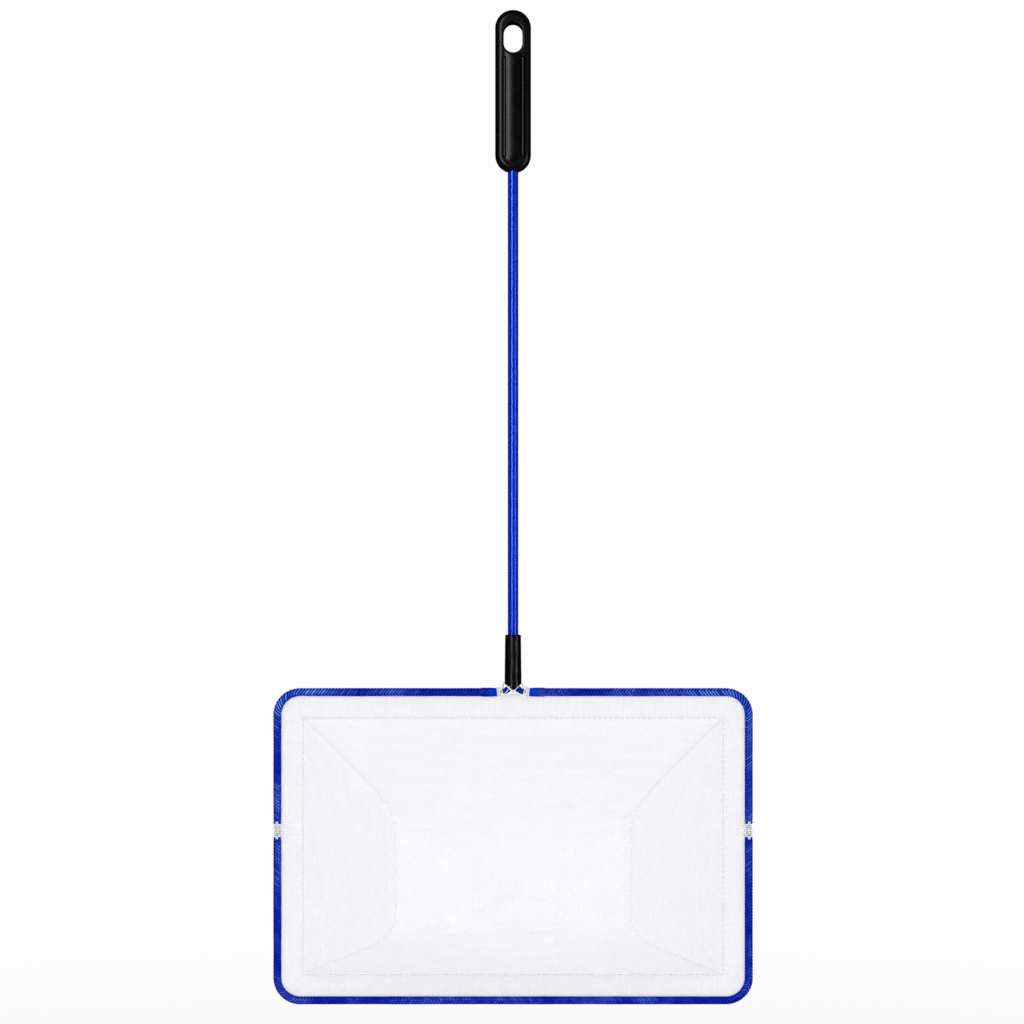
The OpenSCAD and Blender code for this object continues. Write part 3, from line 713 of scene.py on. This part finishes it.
def band_part():
    """Two layers of mesh between the hem and the rim seam. Each corner is folded to a mitre, the
    cloth is drawn into slow waves between the stitches, and its edge puckers along the hem."""
    insets = np.linspace(HEM_R + 0.1, BAND_INNER + 0.5, BAND_ROWS)
    radii = np.maximum(CORNER_R - insets, BAND_LEAST_R)
    rows = np.stack([outline(*row, BAND_COUNTS, BAND_BEND)[0] for row in zip(insets, radii)])
    t = np.linspace(0, 1, BAND_ROWS)[:, None]
    x, z = rows[..., 0], rows[..., 2] - MID_Z
    at = lengths_along(looped(rows[BAND_ROWS // 2]))
    along = at[None, :-1]
    waves = 0.34 * smooth_noise(along + 3 * t, (47, 29, 17), 21) * np.sin(math.pi * t)
    drawn = 0.10 * np.sin(TURN * (along / 6.3 + 0.6 * t)) * (1 - t) ** 2
    past_x, past_z = np.abs(x) - SEAM_X, np.abs(z) - SEAM_HZ
    from_mitre = np.abs(past_x - past_z) / math.sqrt(2)
    corner = smooth((past_x + 1.0) / 2) * smooth((past_z + 1.0) / 2)
    mitre = 0.30 * bell(from_mitre, 0.75) * corner
    tuck = 0.16 * bell(from_mitre - 2.2, 0.9) * corner
    under_neck = bell(x - 1.0, 3.2) * (z > 0)
    rows[..., 2] += 0.95 * under_neck * (1 - smooth(t / 0.3))
    middle = waves + drawn + 0.25 * np.sin(1.9 * x) * under_neck * (1 - smooth(t / 0.5))
    front, back = rows.copy(), rows.copy()
    front[..., 1] = middle - BAND_T / 2 - mitre + tuck
    back[..., 1] = middle + BAND_T / 2 + 0.3 * mitre
    row_at = np.concatenate([insets, 2 * insets[-1] - insets[::-1] + BAND_T, [2 * insets[-1]]])
    quads, uvs = grid_faces(row_at, at, closed=True, around=True)
    return np.concatenate([front, back[::-1]]).reshape(-1, 3), quads, uvs


def rim_seam_part():
    """The seam that joins the bag to the band: a narrow rolled ridge, waved by its stitches."""
    path, out = rounded_outline(SEAM_INSET, SEAM_CORNER_R, OUTLINE_STEP)
    at = lengths_along(path)
    wave = 0.05 * np.cos(TURN * at / STITCH_PITCH)[:, None]
    lumps = 0.05 * smooth_noise(at, (23, 13, 7), 31)[:, None]
    flat = 1 - 0.16 * np.cos(2 * circle(14))[None, :]
    path = path + out * (0.12 * smooth_noise(at, (71, 41), 33))[:, None]
    return tube_part(path, (RIM_SEAM_R + wave + lumps) * flat, out, BACK, closed=True)


def stitches(path, outward):
    """Stitches laid along a path: each dips into the cloth at both ends and arches between."""
    at = lengths_along(path)
    along = np.linspace(0, STITCH_LENGTH, STITCH_POINTS)
    arch = np.sin(np.linspace(0, math.pi, STITCH_POINTS))[:, None] ** 0.6 * 0.16
    radii = np.full((STITCH_POINTS, 6), STITCH_R)
    parts = []
    for k in range(int(at[-1] / STITCH_PITCH)):
        places = k * STITCH_PITCH + along
        out = unit(sampled(outward, at, places))
        points = sampled(path, at, places) + out * (arch - 0.1)
        parts.append(tube_part(points, radii, *carried_sides(points, out[0])))
    return parts


def rim_stitches():
    """The row of stitches in the band beside the rim seam, and the row over the seam."""
    rows = []
    front = -BACK
    for inset, depth in ((SEAM_INSET - 1.25, BAND_T / 2), (SEAM_INSET, 0.52)):
        path, _ = rounded_outline(inset, max(CORNER_R - inset, 0.9), OUTLINE_STEP)
        path = looped(path) + front * depth
        rows += stitches(path, np.broadcast_to(front, path.shape))
    return rows


def make_rim(net_double, net_rolled, net_seam, thread):
    hem = add_piece("Hem_roll_of_mesh", hem_part(), net_rolled, "hem_roll")
    seam = add_piece("Rim_seam_ridge", rim_seam_part(), net_seam, "rim_seam")
    sewn = add_piece("Rim_stitches", join_parts(rim_stitches()), thread, None)
    band = add_piece("Rim_band_of_mesh", band_part(), net_double, "rim_band")


# -------- bag


def folded(phi, w=1.0):
    """How far the bag's section, a rectangle with round folds for corners, reaches to the floor,
    0 to 1, and rises, -1 to 1. w is the place across it, from seam to seam, -1 to 1."""
    soft = mix(SOFT_FOLD_POWER, FOLD_POWER, w * w)
    power = np.where(phi < math.pi / 2, soft, FOLD_POWER)
    radius = (np.abs(np.sin(phi)) ** power + np.abs(np.cos(phi)) ** power) ** (-1 / power)
    return radius * np.sin(phi), radius * np.cos(phi)


def strip_point(phi, w):
    """A point of the strip that makes the upper wall, floor and lower wall. phi goes from the top
    of the rim (0) round the floor to its bottom (pi), and w from seam to seam, -1 to 1."""
    f, g = folded(phi, w)
    belly = (1 - w * w) * f**6 * (1 - g * g)
    droop = (1 - w * w) * np.sin(math.pi * np.minimum(1, f)) * np.maximum(0, -g)
    x = w * mix(SEAM_X, FLOOR_W / 2, f)
    y = BAG_Y + BAG_DEPTH * f + FLOOR_BELLY * belly
    z = MID_Z - BAG_SAG * f + mix(SEAM_HZ, FLOOR_H / 2, f) * g - WALL_DROOP * droop
    return xyz(x, y, z)


def gusset_point(phi, v):
    """A point of the right gusset. v goes from its lower edge to its upper one, -1 to 1."""
    f, g = folded(phi)
    belly = (1 - v * v) * np.sin(math.pi * np.minimum(1, f))
    x = mix(SEAM_X, FLOOR_W / 2, f) + GUSSET_BELLY * belly
    y = BAG_Y + BAG_DEPTH * f
    z = MID_Z - BAG_SAG * f + mix(SEAM_HZ, FLOOR_H / 2, f) * g * v
    return xyz(x, y, z)


def even_phis(count):
    """Angles round the bag about evenly spaced along it, the same above and below its middle."""
    phi = np.linspace(0, math.pi, 4001)
    f, g = folded(phi)
    at = lengths_along(xyz(BAG_DEPTH * f, FLOOR_H * 0.7 * g, 0.0))
    return np.interp(np.linspace(0, at[-1], count + 1), at, phi)


def welded_bag():
    """The whole bag as one welded mesh: points, quads, UVs, each quad's panel (0 strip, 1 right
    gusset, 2 left gusset) and the points along the rim, which are held."""
    phis = even_phis(BAG_ROWS)
    strip = strip_point(phis[:, None], np.linspace(-1, 1, BAG_COLS + 1)[None, :])
    rows, cols = strip.shape[:2]
    number = np.arange(rows * cols).reshape(rows, cols)
    quads, uvs = grid_faces(lengths_along(strip[:, cols // 2]), np.linspace(-1, 1, cols) * SEAM_X)
    points, panels = [strip.reshape(-1, 3)], [np.zeros(len(quads), int)]
    quads, uvs = [quads[:, ::-1]], [uvs[:, ::-1]]
    held = [number[0], number[-1]]

    # A gusset's grid ends on the strip's edge in the rows that reach nearly as far as the floor
    reach = folded(phis)[0]
    last = int(np.searchsorted(reach[: rows // 2], GUSSET_LAST_REACH)) - 1
    steps = rows - 1 - 2 * last
    edge_z = strip[last : rows - last, -1, 2]
    bottom, top = edge_z[-1], edge_z[0]
    v_last = (2 * edge_z - top - bottom) / (top - bottom)
    even = np.linspace(1, -1, steps + 1)[1:-1]
    v = mix(even[None, :], v_last[None, 1:-1], (np.arange(last) / last)[:, None] ** 2)
    right = gusset_point(np.repeat(phis[:last, None], steps - 1, 1), v)
    for panel, column, sign in ((1, -1, 1), (2, 0, -1)):
        edge = number[:, column]
        index = np.empty((last + 1, steps + 1), int)
        index[:, 0], index[:, -1] = edge[: last + 1], edge[::-1][: last + 1]
        index[-1] = edge[last : rows - last]
        index[:-1, 1:-1] = sum(map(len, points)) + np.arange(v.size).reshape(v.shape)
        row_at, col_at = BAG_DEPTH * reach[: last + 1], np.linspace(SEAM_HZ, -SEAM_HZ, steps + 1)
        local, uv = grid_faces(row_at, col_at)
        points.append((right * [sign, 1, 1]).reshape(-1, 3))
        quads.append(index.ravel()[local][:, ::-sign])
        uvs.append(uv[:, ::-sign])
        panels.append(np.full(len(local), panel))
        held.append(index[0])
    return tuple(np.concatenate(a) for a in (points, quads, uvs, panels, held))


def settle(obj, held):
    """Lets the bag hang under its own weight from its rim, as a cloth, and keeps where each point
    came to rest, at most SETTLE_CAP from where it started."""
    scene = bpy.context.scene
    group = obj.vertex_groups.new(name="held")
    group.add(held.tolist(), 1.0, "REPLACE")
    modifier = obj.modifiers.new("settle", "CLOTH")
    for key, value in CLOTH.items():
        setattr(modifier.settings, key, value)
    modifier.settings.vertex_group_mass = "held"
    modifier.point_cache.frame_start = 1
    modifier.point_cache.frame_end = SETTLE_STEPS
    start = read_points(obj.data)
    for step in range(1, SETTLE_STEPS + 1):
        scene.frame_set(step)
    shown = obj.evaluated_get(bpy.context.evaluated_depsgraph_get())
    settled = read_points(shown.to_mesh())
    shown.to_mesh_clear()
    obj.modifiers.remove(modifier)
    scene.frame_set(1)
    moved = settled - start
    far = np.linalg.norm(moved, axis=-1, keepdims=True)
    kept = SETTLE_CAP * np.tanh(far / SETTLE_CAP)
    write_points(obj.data, start + moved / np.maximum(far, 1e-9) * kept)


def read_vectors(items, key):
    values = np.empty(len(items) * 3)
    items.foreach_get(key, values)
    return values.reshape(-1, 3)


def read_points(mesh):
    return read_vectors(mesh.vertices, "co") / MM


def write_points(mesh, points):
    mesh.vertices.foreach_set("co", (points * MM).ravel())
    mesh.update()


def refined(obj):
    """The object's mesh after one round of subdivision."""
    modifier = obj.modifiers.new("refine", "SUBSURF")
    modifier.levels = 1
    modifier.boundary_smooth = "PRESERVE_CORNERS"
    dg = bpy.context.evaluated_depsgraph_get()
    mesh = bpy.data.meshes.new_from_object(obj.evaluated_get(dg))
    obj.modifiers.remove(modifier)
    return mesh


def side_creases():
    """Fold lines of the right side in millimetres, each with its height and width: pulls from the
    lower corner of the rim up to the floor's side, and from the upper corner down to the floor."""
    phi_of = np.linspace(0, math.pi / 2, 2001)
    reach_of = folded(phi_of)[0]

    def at(f, v):
        return gusset_point(np.interp(f, reach_of, phi_of), v)

    return [
        ([at(0.99, 0.18), at(0.62, -0.36), at(0.08, -0.93)], 1.15, 1.5),
        ([at(0.97, -0.25), at(0.60, -0.62), at(0.12, -0.97)], -0.7, 2.2),
        ([at(0.10, 0.86), at(0.55, 0.52), at(0.97, 0.38)], 0.55, 2.4),
        ([at(0.92, 0.70), at(0.93, 0.0), at(0.92, -0.62)], -0.5, 1.6),
    ]


def floor_creases():
    """Fold lines of the floor and the lower wall, each with its height and width."""

    def at(phi, w):
        return strip_point(math.radians(phi), w)

    return [
        ([at(131, -0.97), at(118, -0.5), at(112, 0.0), at(116, 0.3), at(127, 0.7)], 1.1, 1.7),
        ([at(134, -0.6), at(133, 0.1), at(134, 0.9)], -0.8, 1.5),
        ([at(141, -0.8), at(143, -0.1), at(140, 0.6)], 0.9, 2.6),
        ([at(149, -0.5), at(146, 0.15), at(150, 0.75)], -0.8, 2.8),
        ([at(60, -0.9), at(56, 0.0), at(61, 0.9)], -0.5, 4.0),
        ([at(76, -0.985), at(92, -0.975), at(108, -0.985)], 0.6, 1.2),
        ([at(76, 0.985), at(92, 0.975), at(108, 0.985)], 0.6, 1.2),
    ]


def crease(points, normals, line, height, width):
    """Raises the cloth along a line, with the soft hollow beside it that a fold has."""
    line = evenly(np.asarray(line), 1.0)
    gap = np.linalg.norm(points[:, None, :] - line[None, :, :], axis=-1)
    distance = gap.min(1)
    taper = np.sin(math.pi * np.clip(gap.argmin(1) / (len(line) - 1), 0.03, 0.97)) ** 0.5
    ridge = bell(distance, width) - 0.35 * bell(distance - 2 * width, 1.1 * width)
    return normals * (height * ridge * taper)[:, None]


def wrinkle(mesh):
    """Adds the crisp folds that a settled bag keeps, and slow unevenness over every panel."""
    points = read_points(mesh)
    normals = read_vectors(mesh.vertex_normals, "vector")
    free = smooth((points[:, 1] - BAG_Y - 0.5) / 4)[:, None]
    folds = [
        (np.array(line) * [sign, 1, 1], *form)
        for line, *form in side_creases()
        for sign in (1, -1)
    ]
    moved = sum(crease(points, normals, *fold) for fold in folds + floor_creases())
    x, y, z = points.T
    slow = smooth_noise(x * 0.8 + z, (31, 19), 41) * smooth_noise(x - z * 0.7 + y, (43, 23), 42)
    moved = moved + normals * (0.7 * slow)[:, None]
    write_points(mesh, points + moved * free)


def panel_mesh(whole, panel, name):
    """The faces of one panel of the bag as a mesh of their own."""
    cut = bmesh.new()
    cut.from_mesh(whole)
    others = [f for f in cut.faces if f.material_index != panel]
    bmesh.ops.delete(cut, geom=others, context="FACES")
    for face in cut.faces:
        face.material_index = 0
    mesh = bpy.data.meshes.new(name)
    cut.to_mesh(mesh)
    cut.free()
    return mesh


def make_gusset_seam(points, end, net, thread):
    """The ridge and the stitches along the line where the settled strip meets one gusset."""
    sign, cols = SIDES[end], BAG_COLS + 1
    index = np.arange(BAG_ROWS + 1) * cols + (cols - 1 if sign > 0 else 0)
    line, beside = (evenly(points[column], SEAM_STEP) for column in (index, index - sign))
    line = line[: len(beside)]
    middle = np.array([0.0, BAG_Y + BAG_DEPTH * 0.45, MID_Z - BAG_SAG * 0.5])
    at = lengths_along(line)
    waves = 0.04 * np.cos(TURN * at / STITCH_PITCH) + 0.05 * smooth_noise(at, (17, 9), 51)
    radii = (GUSSET_SEAM_R + waves)[:, None] * (1 + 0.12 * np.cos(2 * circle(10)))[None, :]
    ridge = tube_part(line, radii, *carried_sides(line, (sign, 0, 0)))
    inward = unit(middle - line)
    sewn = join_parts(stitches(line + inward * 0.4, inward))
    return [
        add_piece("Gusset_seam_ridge_" + end, ridge, net, "gusset_seam_" + end),
        add_piece("Gusset_stitches_" + end, sewn, thread, None),
    ]


def make_bag(net, net_seam, thread):
    points, quads, uvs, panels, held = welded_bag()
    cloth = make_object("Bag_cloth", points, quads, uvs, net)
    for _ in range(2):
        cloth.data.materials.append(net)
    cloth.data.polygons.foreach_set("material_index", panels)
    settle(cloth, held)
    settled = read_points(cloth.data)
    whole = refined(cloth)
    wrinkle(whole)
    bpy.data.objects.remove(cloth)

    seams = [make_gusset_seam(settled, end, net_seam, thread) for end in SIDES]
    for panel, end in enumerate(("main", "gusset_right", "gusset_left")):
        name = "Bag_panel_" + end
        mesh = panel_mesh(whole, panel, name)
        mesh.materials.append(net)
        node = "bag_main_panel" if end == "main" else "bag_" + end
        show(add_object(name, mesh), node)


# -------- lashings


def turn_radius(past_end, end_r):
    """Radius of a thread's centre round a bar: on the hem, or out on the end of a binding."""
    return mix(HEM_R, end_r, smooth(past_end / THREAD_PITCH + 0.5)) + THREAD_R + 0.05


def round_side(angle, radius, z):
    """Places round the right side's bar, at heights above the middle of its lashing."""
    return xyz(SIDE_X + radius * np.cos(angle), radius * np.sin(angle), LASHING_Z + z)


def side_winding():
    """Turns of thread round the gap between the bindings on the right side."""
    t = np.linspace(0, SIDE_TURNS, SIDE_TURNS * 40 + 1)
    z = THREAD_PITCH * (t - SIDE_TURNS / 2)
    r = turn_radius(np.abs(z) - BINDING_GAP / 2, BINDING_R) + 0.03 * np.sin(TURN * t / 3.3)
    slip = 0.12 * np.sin(TURN * t * 1.37)
    return round_side(TURN * t, r, slip - z)


def wrapped(start, end, radius):
    """A thread laid round that bar from one angle and height to another."""
    t = np.linspace(0, 1, 40)
    return round_side(np.radians(mix(start[0], end[0], t)), radius, mix(start[1], end[1], t))


def knot(centre, size, seed):
    """A small overhand knot: a closed loop that passes through itself."""
    t = np.linspace(0, TURN, 90)
    phase = np.random.default_rng(seed).random() * TURN
    x = np.sin(t + phase) + 2 * np.sin(2 * t + phase)
    y = np.cos(t + phase) - 2 * np.cos(2 * t + phase)
    return centre + xyz(x, y, -np.sin(3 * t)) * size / 3


def side_lashing_part():
    """The winding, the V of crossing threads over each binding's end, the stitches that reach
    into the band and the knot outside."""
    threads = [(side_winding(), THREAD_R, (1, 0, 0))]
    over = BINDING_R + 3.2 * THREAD_R
    for up in (1, -1):
        for lean in (1, -1):
            v = wrapped((-90 + 62 * lean, 1.0 * up), (-90 - 12 * lean, 4.6 * up), over)
            threads.append((v, 0.22, (1, 0, 0)))
        threads.append((wrapped((150, 2.1 * up), (20, 4.1 * up), over), 0.22))
    for drop, reach in ((2.6, 4.4), (0.4, 6.2), (-2.3, 4.9)):
        start = np.array([SIDE_X - over, -0.5, LASHING_Z + drop * 0.6])
        end = np.array([SIDE_X - over - reach, -0.35, LASHING_Z + drop * 1.25])
        middle = (start + end) / 2 + [0, -0.5, 0.2]
        threads.append((bezier([start, middle, middle, end], 24), 0.19))
    knot_at = round_side(-0.9, over, 0.4)
    threads.append((knot(knot_at, 0.75, 5), 0.2, (0, 0, 1)))
    tail = [(0, 0, 0), (0.5, -0.5, -0.7), (0.5, -0.3, -1.5), (0.3, -0.2, -2.2)]
    threads.append((bezier(np.add(knot_at, tail), 24), 0.2))
    return join_parts(thread_part(*thread) for thread in threads)


def neck_winding():
    """Turns on the right of the neck, from the binding's end in to the back of the bar."""
    t = np.linspace(0, NECK_TURNS, NECK_TURNS * 40 + 1)
    x = HEM_GAP + THREAD_R + NECK_PITCH * (NECK_TURNS - t)
    r = turn_radius(x - BINDING_START, BINDING_R + CUFF_RISE) + 0.02 * np.sin(TURN * t / 2.7)
    slip = 0.1 * np.sin(TURN * t * 1.31)
    return xyz(x + slip, r * np.cos(TURN * t), BAR_Z + r * np.sin(TURN * t))


def tongue_point(a, grow=0.0, lift=0.0):
    """Where a thread lies round the sleeve along the edges of its front tongue, at an angle in
    degrees from the front."""
    a = np.radians(a)
    r = SLEEVE_R + THREAD_R + 0.05 + grow
    rise = NOTCH_H * np.sqrt(np.sin(a) ** 2 + 0.12**2)
    return xyz(r * np.sin(a), -r * np.cos(a), SLEEVE_TIP_Z + THREAD_R + rise + lift)


def neck_lashing_part():
    """The winding on each side of the neck, joined behind the bar and by a thin thread round the
    tongue. A strong strand runs from the sleeve's left side across its tip to the right winding;
    threads cross on the bindings' ends, and each side has a knot and a tail."""
    right = neck_winding()
    rise_to = tongue_point(100)
    lifted, before = right[-1] + [0, 0, NOTCH_H / 2], rise_to + [0, NOTCH_H / 4, 0]
    rise = bezier([right[-1], lifted, before, rise_to], 20)[1:-1]
    half = np.concatenate([right, rise, rise_to[None, :]])
    strong = [
        tongue_point(6, 0.4, 0.15),
        (2.4, -4.6, SLEEVE_TIP_Z - 0.8),
        (4.6, -3.6, BAR_Z - 1.2),
        (6.4, -2.5, BAR_Z - 2.2),
    ]
    strong = [tongue_point(np.linspace(-100, 6, 40), 0.4, 0.15), bezier(strong, 30)[1:]]
    hidden = [
        (-6.4, -2.6, BAR_Z - 1.5),
        (-4.4, -3.4, BAR_Z - 0.9),
        (-2.6, -4.2, SLEEVE_TIP_Z + 0.6),
        tongue_point(-20, 0.1, 1.4),
    ]
    threads = [
        (half,),
        (half * [-1, 1, 1],),
        (tongue_point(np.linspace(100, -100, 60)), 0.15, (0, 0, 1)),
        (np.concatenate(strong), 0.3, (0, 0, 1)),
        (bezier(hidden, 30), 0.17, (0, 0, 1)),
    ]

    over = BINDING_R + CUFF_RISE + 3.0 * THREAD_R
    for sign in (1, -1):
        for lean in (1, -1):
            a = np.radians(np.linspace(-90 + 50 * lean, -90 - 30 * lean, 30))
            x = sign * np.linspace(6.2, 8.0, 30)
            v = xyz(x, over * np.sin(a), BAR_Z + over * np.cos(a))
            threads.append((v, 0.2, (1, 0, 0)))
        loose = [(4.9, -2.2, 2.0), (6.2, -3.0, 4.4), (7.9, -2.6, 3.4), (8.3, -1.4, 2.2)]
        loose = np.array(loose) * [sign, 1, 1] + [0, 0, BAR_Z]
        threads.append((bezier(loose, 30), 0.15))
        knot_at = np.array([sign * 6.3, -over, BAR_Z - 0.9])
        threads.append((knot(knot_at, 0.95, 8), 0.24, (0, 0, 1)))
        tail = [(0, 0, 0), (-0.2, -0.2, -1.2), (0.4, 1.0, -2.4), (0.2, 2.0, -3.2 - 0.8 * sign)]
        tail = knot_at + np.array(tail) * [sign, 1, 1]
        threads.append((bezier(tail, 24), 0.22))
    return join_parts(thread_part(*thread) for thread in threads)


def binding_tail_part(sign):
    """The binding's cut end: a bundle of its strands, drawn in under the lashing and up beside the
    wire's bend into the sleeve's mouth."""
    t = np.linspace(0, math.pi / 2, 60)
    x = TAIL_LEG_X + TAIL_BEND_R * (1 - np.cos(t))
    path = xyz(sign * x, TAIL_Y, BAR_Z + TAIL_BEND_R * (1 - np.sin(t)))
    strands = np.abs(np.sin(3 * circle(24)[None, :] + 5 * t[:, None]))
    radii = TAIL_R + TAIL_RELIEF * strands
    points, quads, uvs = tube_part(path, radii, *carried_sides(path, BACK))
    uvs[..., 1] += TAIL_BRAID_AT
    return points, quads, uvs


def hem_tab_part(sign):
    """A corner of the hem drawn up beside the sleeve: a crumpled three-cornered flap."""
    rows, cols = 14, 16
    t, s = np.meshgrid(np.linspace(0, 1, rows), np.linspace(0, 1, cols), indexing="ij")
    width = 4.2 * (1 - t) ** 1.2 + 0.15
    x = SLEEVE_R + 0.1 + s * width + 0.25 * np.sin(5 * t)
    z = BAR_Z + 1.9 + 3.9 * t * (1 - 0.25 * s) + 0.25 * np.sin(9 * s) * t
    y = -0.9 + 0.7 * np.sin(7 * s + 4 * t) * (0.3 + t) - 0.9 * s
    quads, uvs = grid_faces(np.linspace(0, 4, rows), np.linspace(0, 4, cols))
    return xyz(sign * x, y, z).reshape(-1, 3), quads, uvs


def make_lashings(thread, net, blue):
    right = side_lashing_part()
    for end, part in (("right", right), ("left", mirrored(right))):
        add_piece("Lashing_side_" + end, part, thread, "side_lashing_" + end)
    add_piece("Lashing_neck", neck_lashing_part(), thread, "neck_lashing")
    for end, sign in SIDES.items():
        tab = hem_tab_part(sign)
        add_piece("Crumpled_hem_tab_" + end, tab, net, "hem_tab_" + end)
    for end, sign in SIDES.items():
        add_piece("Binding_tail_" + end, binding_tail_part(sign), blue, None)


# -------- scene


def show(obj, node):
    """Rides a piece on the object, in place of a solid where one is named."""
    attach(obj, "root")
    if node:
        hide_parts(node)
    return obj


def add_piece(name, part, material, node):
    return show(make_object(name, *part, material), node)


def dress_solids():
    """Gives the solids that stay in view their materials."""
    materials = {
        "grip": moulded_black(),
        "stem_tube": stem_blue(),
        "neck_sleeve": shrunk_black(),
        "frame_wire": coated_wire(),
    }
    for node, material in materials.items():
        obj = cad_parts[node]
        for slot in obj.material_slots:
            slot.material = material
        if not obj.material_slots:
            obj.data.materials.append(material)


def add_camera():
    data = bpy.data.cameras.new("Camera")
    data.lens, data.sensor_width = FOCAL_MM, SENSOR_MM
    data.clip_start, data.clip_end = 0.01, 60.0
    camera = add_object("Camera", data)
    camera.location = CAMERA_AT
    camera.rotation_euler = (math.radians(90), 0, 0)
    bpy.context.scene.camera = camera


def add_softbox(name, azimuth, height, distance, size, power):
    """A soft lamp that faces the object's middle. azimuth 0 is at the camera, 90 to its right."""
    data = bpy.data.lights.new(name, "AREA")
    data.shape = "RECTANGLE"
    data.size, data.size_y = size
    data.energy = power
    lamp = add_object(name, data)
    a = math.radians(azimuth)
    lamp.location = Vector((math.sin(a) * distance, -math.cos(a) * distance, height))
    aim = Vector((0, 0, (cad_low.z + cad_high.z) / 2)) - lamp.location
    lamp.rotation_mode = "QUATERNION"
    lamp.rotation_quaternion = aim.to_track_quat("-Z", "Y")
    return lamp


def add_gloss_panel(name, azimuth, height, distance, size, radiance):
    """A panel that only shows as a highlight on glossy surfaces, and leaves their colour alone."""
    power = radiance * math.pi * size[0] * size[1]
    lamp = add_softbox(name, azimuth, height, distance, size, power)
    lamp.visible_diffuse = False
    lamp.visible_transmission = False


def camera_share(n):
    """1 for rays that show a background: the camera's, and those seen in gloss or through glass."""
    path = n.add("ShaderNodeLightPath").outputs
    seen = n.math("MAXIMUM", path["Is Camera Ray"], path["Is Glossy Ray"])
    return n.math("MAXIMUM", seen, path["Is Transmission Ray"])


def add_world():
    """An even studio: white where it is seen, and a softer fill on the object."""
    world = bpy.data.worlds.new("Studio")
    bpy.context.scene.world = world
    n = Nodes(world, "ShaderNodeOutputWorld")
    level = n.remap(camera_share(n), 0, 1, FILL_LEVEL, WHITE_LEVEL)
    n.finish(n.add("ShaderNodeBackground", {"Color": WHITE, "Strength": level}).outputs[0])


def floor_material():
    """Pale floor: it takes the object's shadow near by, and is the background's white far off."""
    n = material_nodes("floor_pale")
    far = n.add("ShaderNodeVectorMath", {0: n.place()}, operation="LENGTH").outputs["Value"]
    near = n.remap(far, 0.9, 3.0, 0.5, 0.0)
    colour = n.blend(n.noise(6, detail=3), srgb(246, 246, 247), srgb(250, 250, 251))
    matt = n.principled(colour, 0.9)
    white = n.add("ShaderNodeEmission", {"Color": WHITE, "Strength": WHITE_LEVEL}).outputs[0]
    return n.finish(n.mixed(camera_share(n), matt, n.mixed(near, white, matt)))


def add_floor():
    angles, radii = circle(FLOOR_SIDES), np.array(FLOOR_RINGS)[:, None] / MM
    points = xyz(radii * np.cos(angles), radii * np.sin(angles), 0.0).reshape(-1, 3)
    quads, uvs = grid_faces(radii[:, 0], np.linspace(0, 1, FLOOR_SIDES + 1), around=True)
    floor = make_object("Floor", points, quads, uvs, floor_material())
    floor.location = (0, 0, FLOOR_Z)


def add_lamps():
    """Soft light from both sides and from behind. The gloss panels beside the camera draw the
    highlights on the plastics, and the one behind does so for a view from there."""
    add_softbox("Key_left", -35, height=0.0, distance=1.7, size=(1.0, 1.0), power=3.4)
    add_softbox("Key_right", 40, height=-0.4, distance=1.7, size=(1.0, 1.0), power=3.8)
    add_softbox("Back_top", 180, height=-0.35, distance=1.6, size=(2.6, 1.6), power=8)
    add_gloss_panel("Gloss_left", -23, height=0.15, distance=1.5, size=(0.6, 1.2), radiance=50)
    add_gloss_panel("Gloss_right", 51, height=-0.45, distance=1.5, size=(0.42, 1.06), radiance=34)
    add_gloss_panel("Gloss_back", 157, height=0.15, distance=1.5, size=(0.6, 1.2), radiance=50)


def build():
    bpy.context.scene.view_settings.view_transform = "Standard"
    add_camera()
    net, net_double, net_rolled, net_seam = (mesh_white(name, *look) for name, look in NETS.items())
    thread = thread_white()
    dress_solids()
    blue = binding_blue()
    make_bindings(blue)
    make_rim(net_double, net_rolled, net_seam, thread)
    make_bag(net, net_seam, thread)
    make_lashings(thread, net_double, blue)
    add_world()
    add_floor()
    add_lamps()


build()
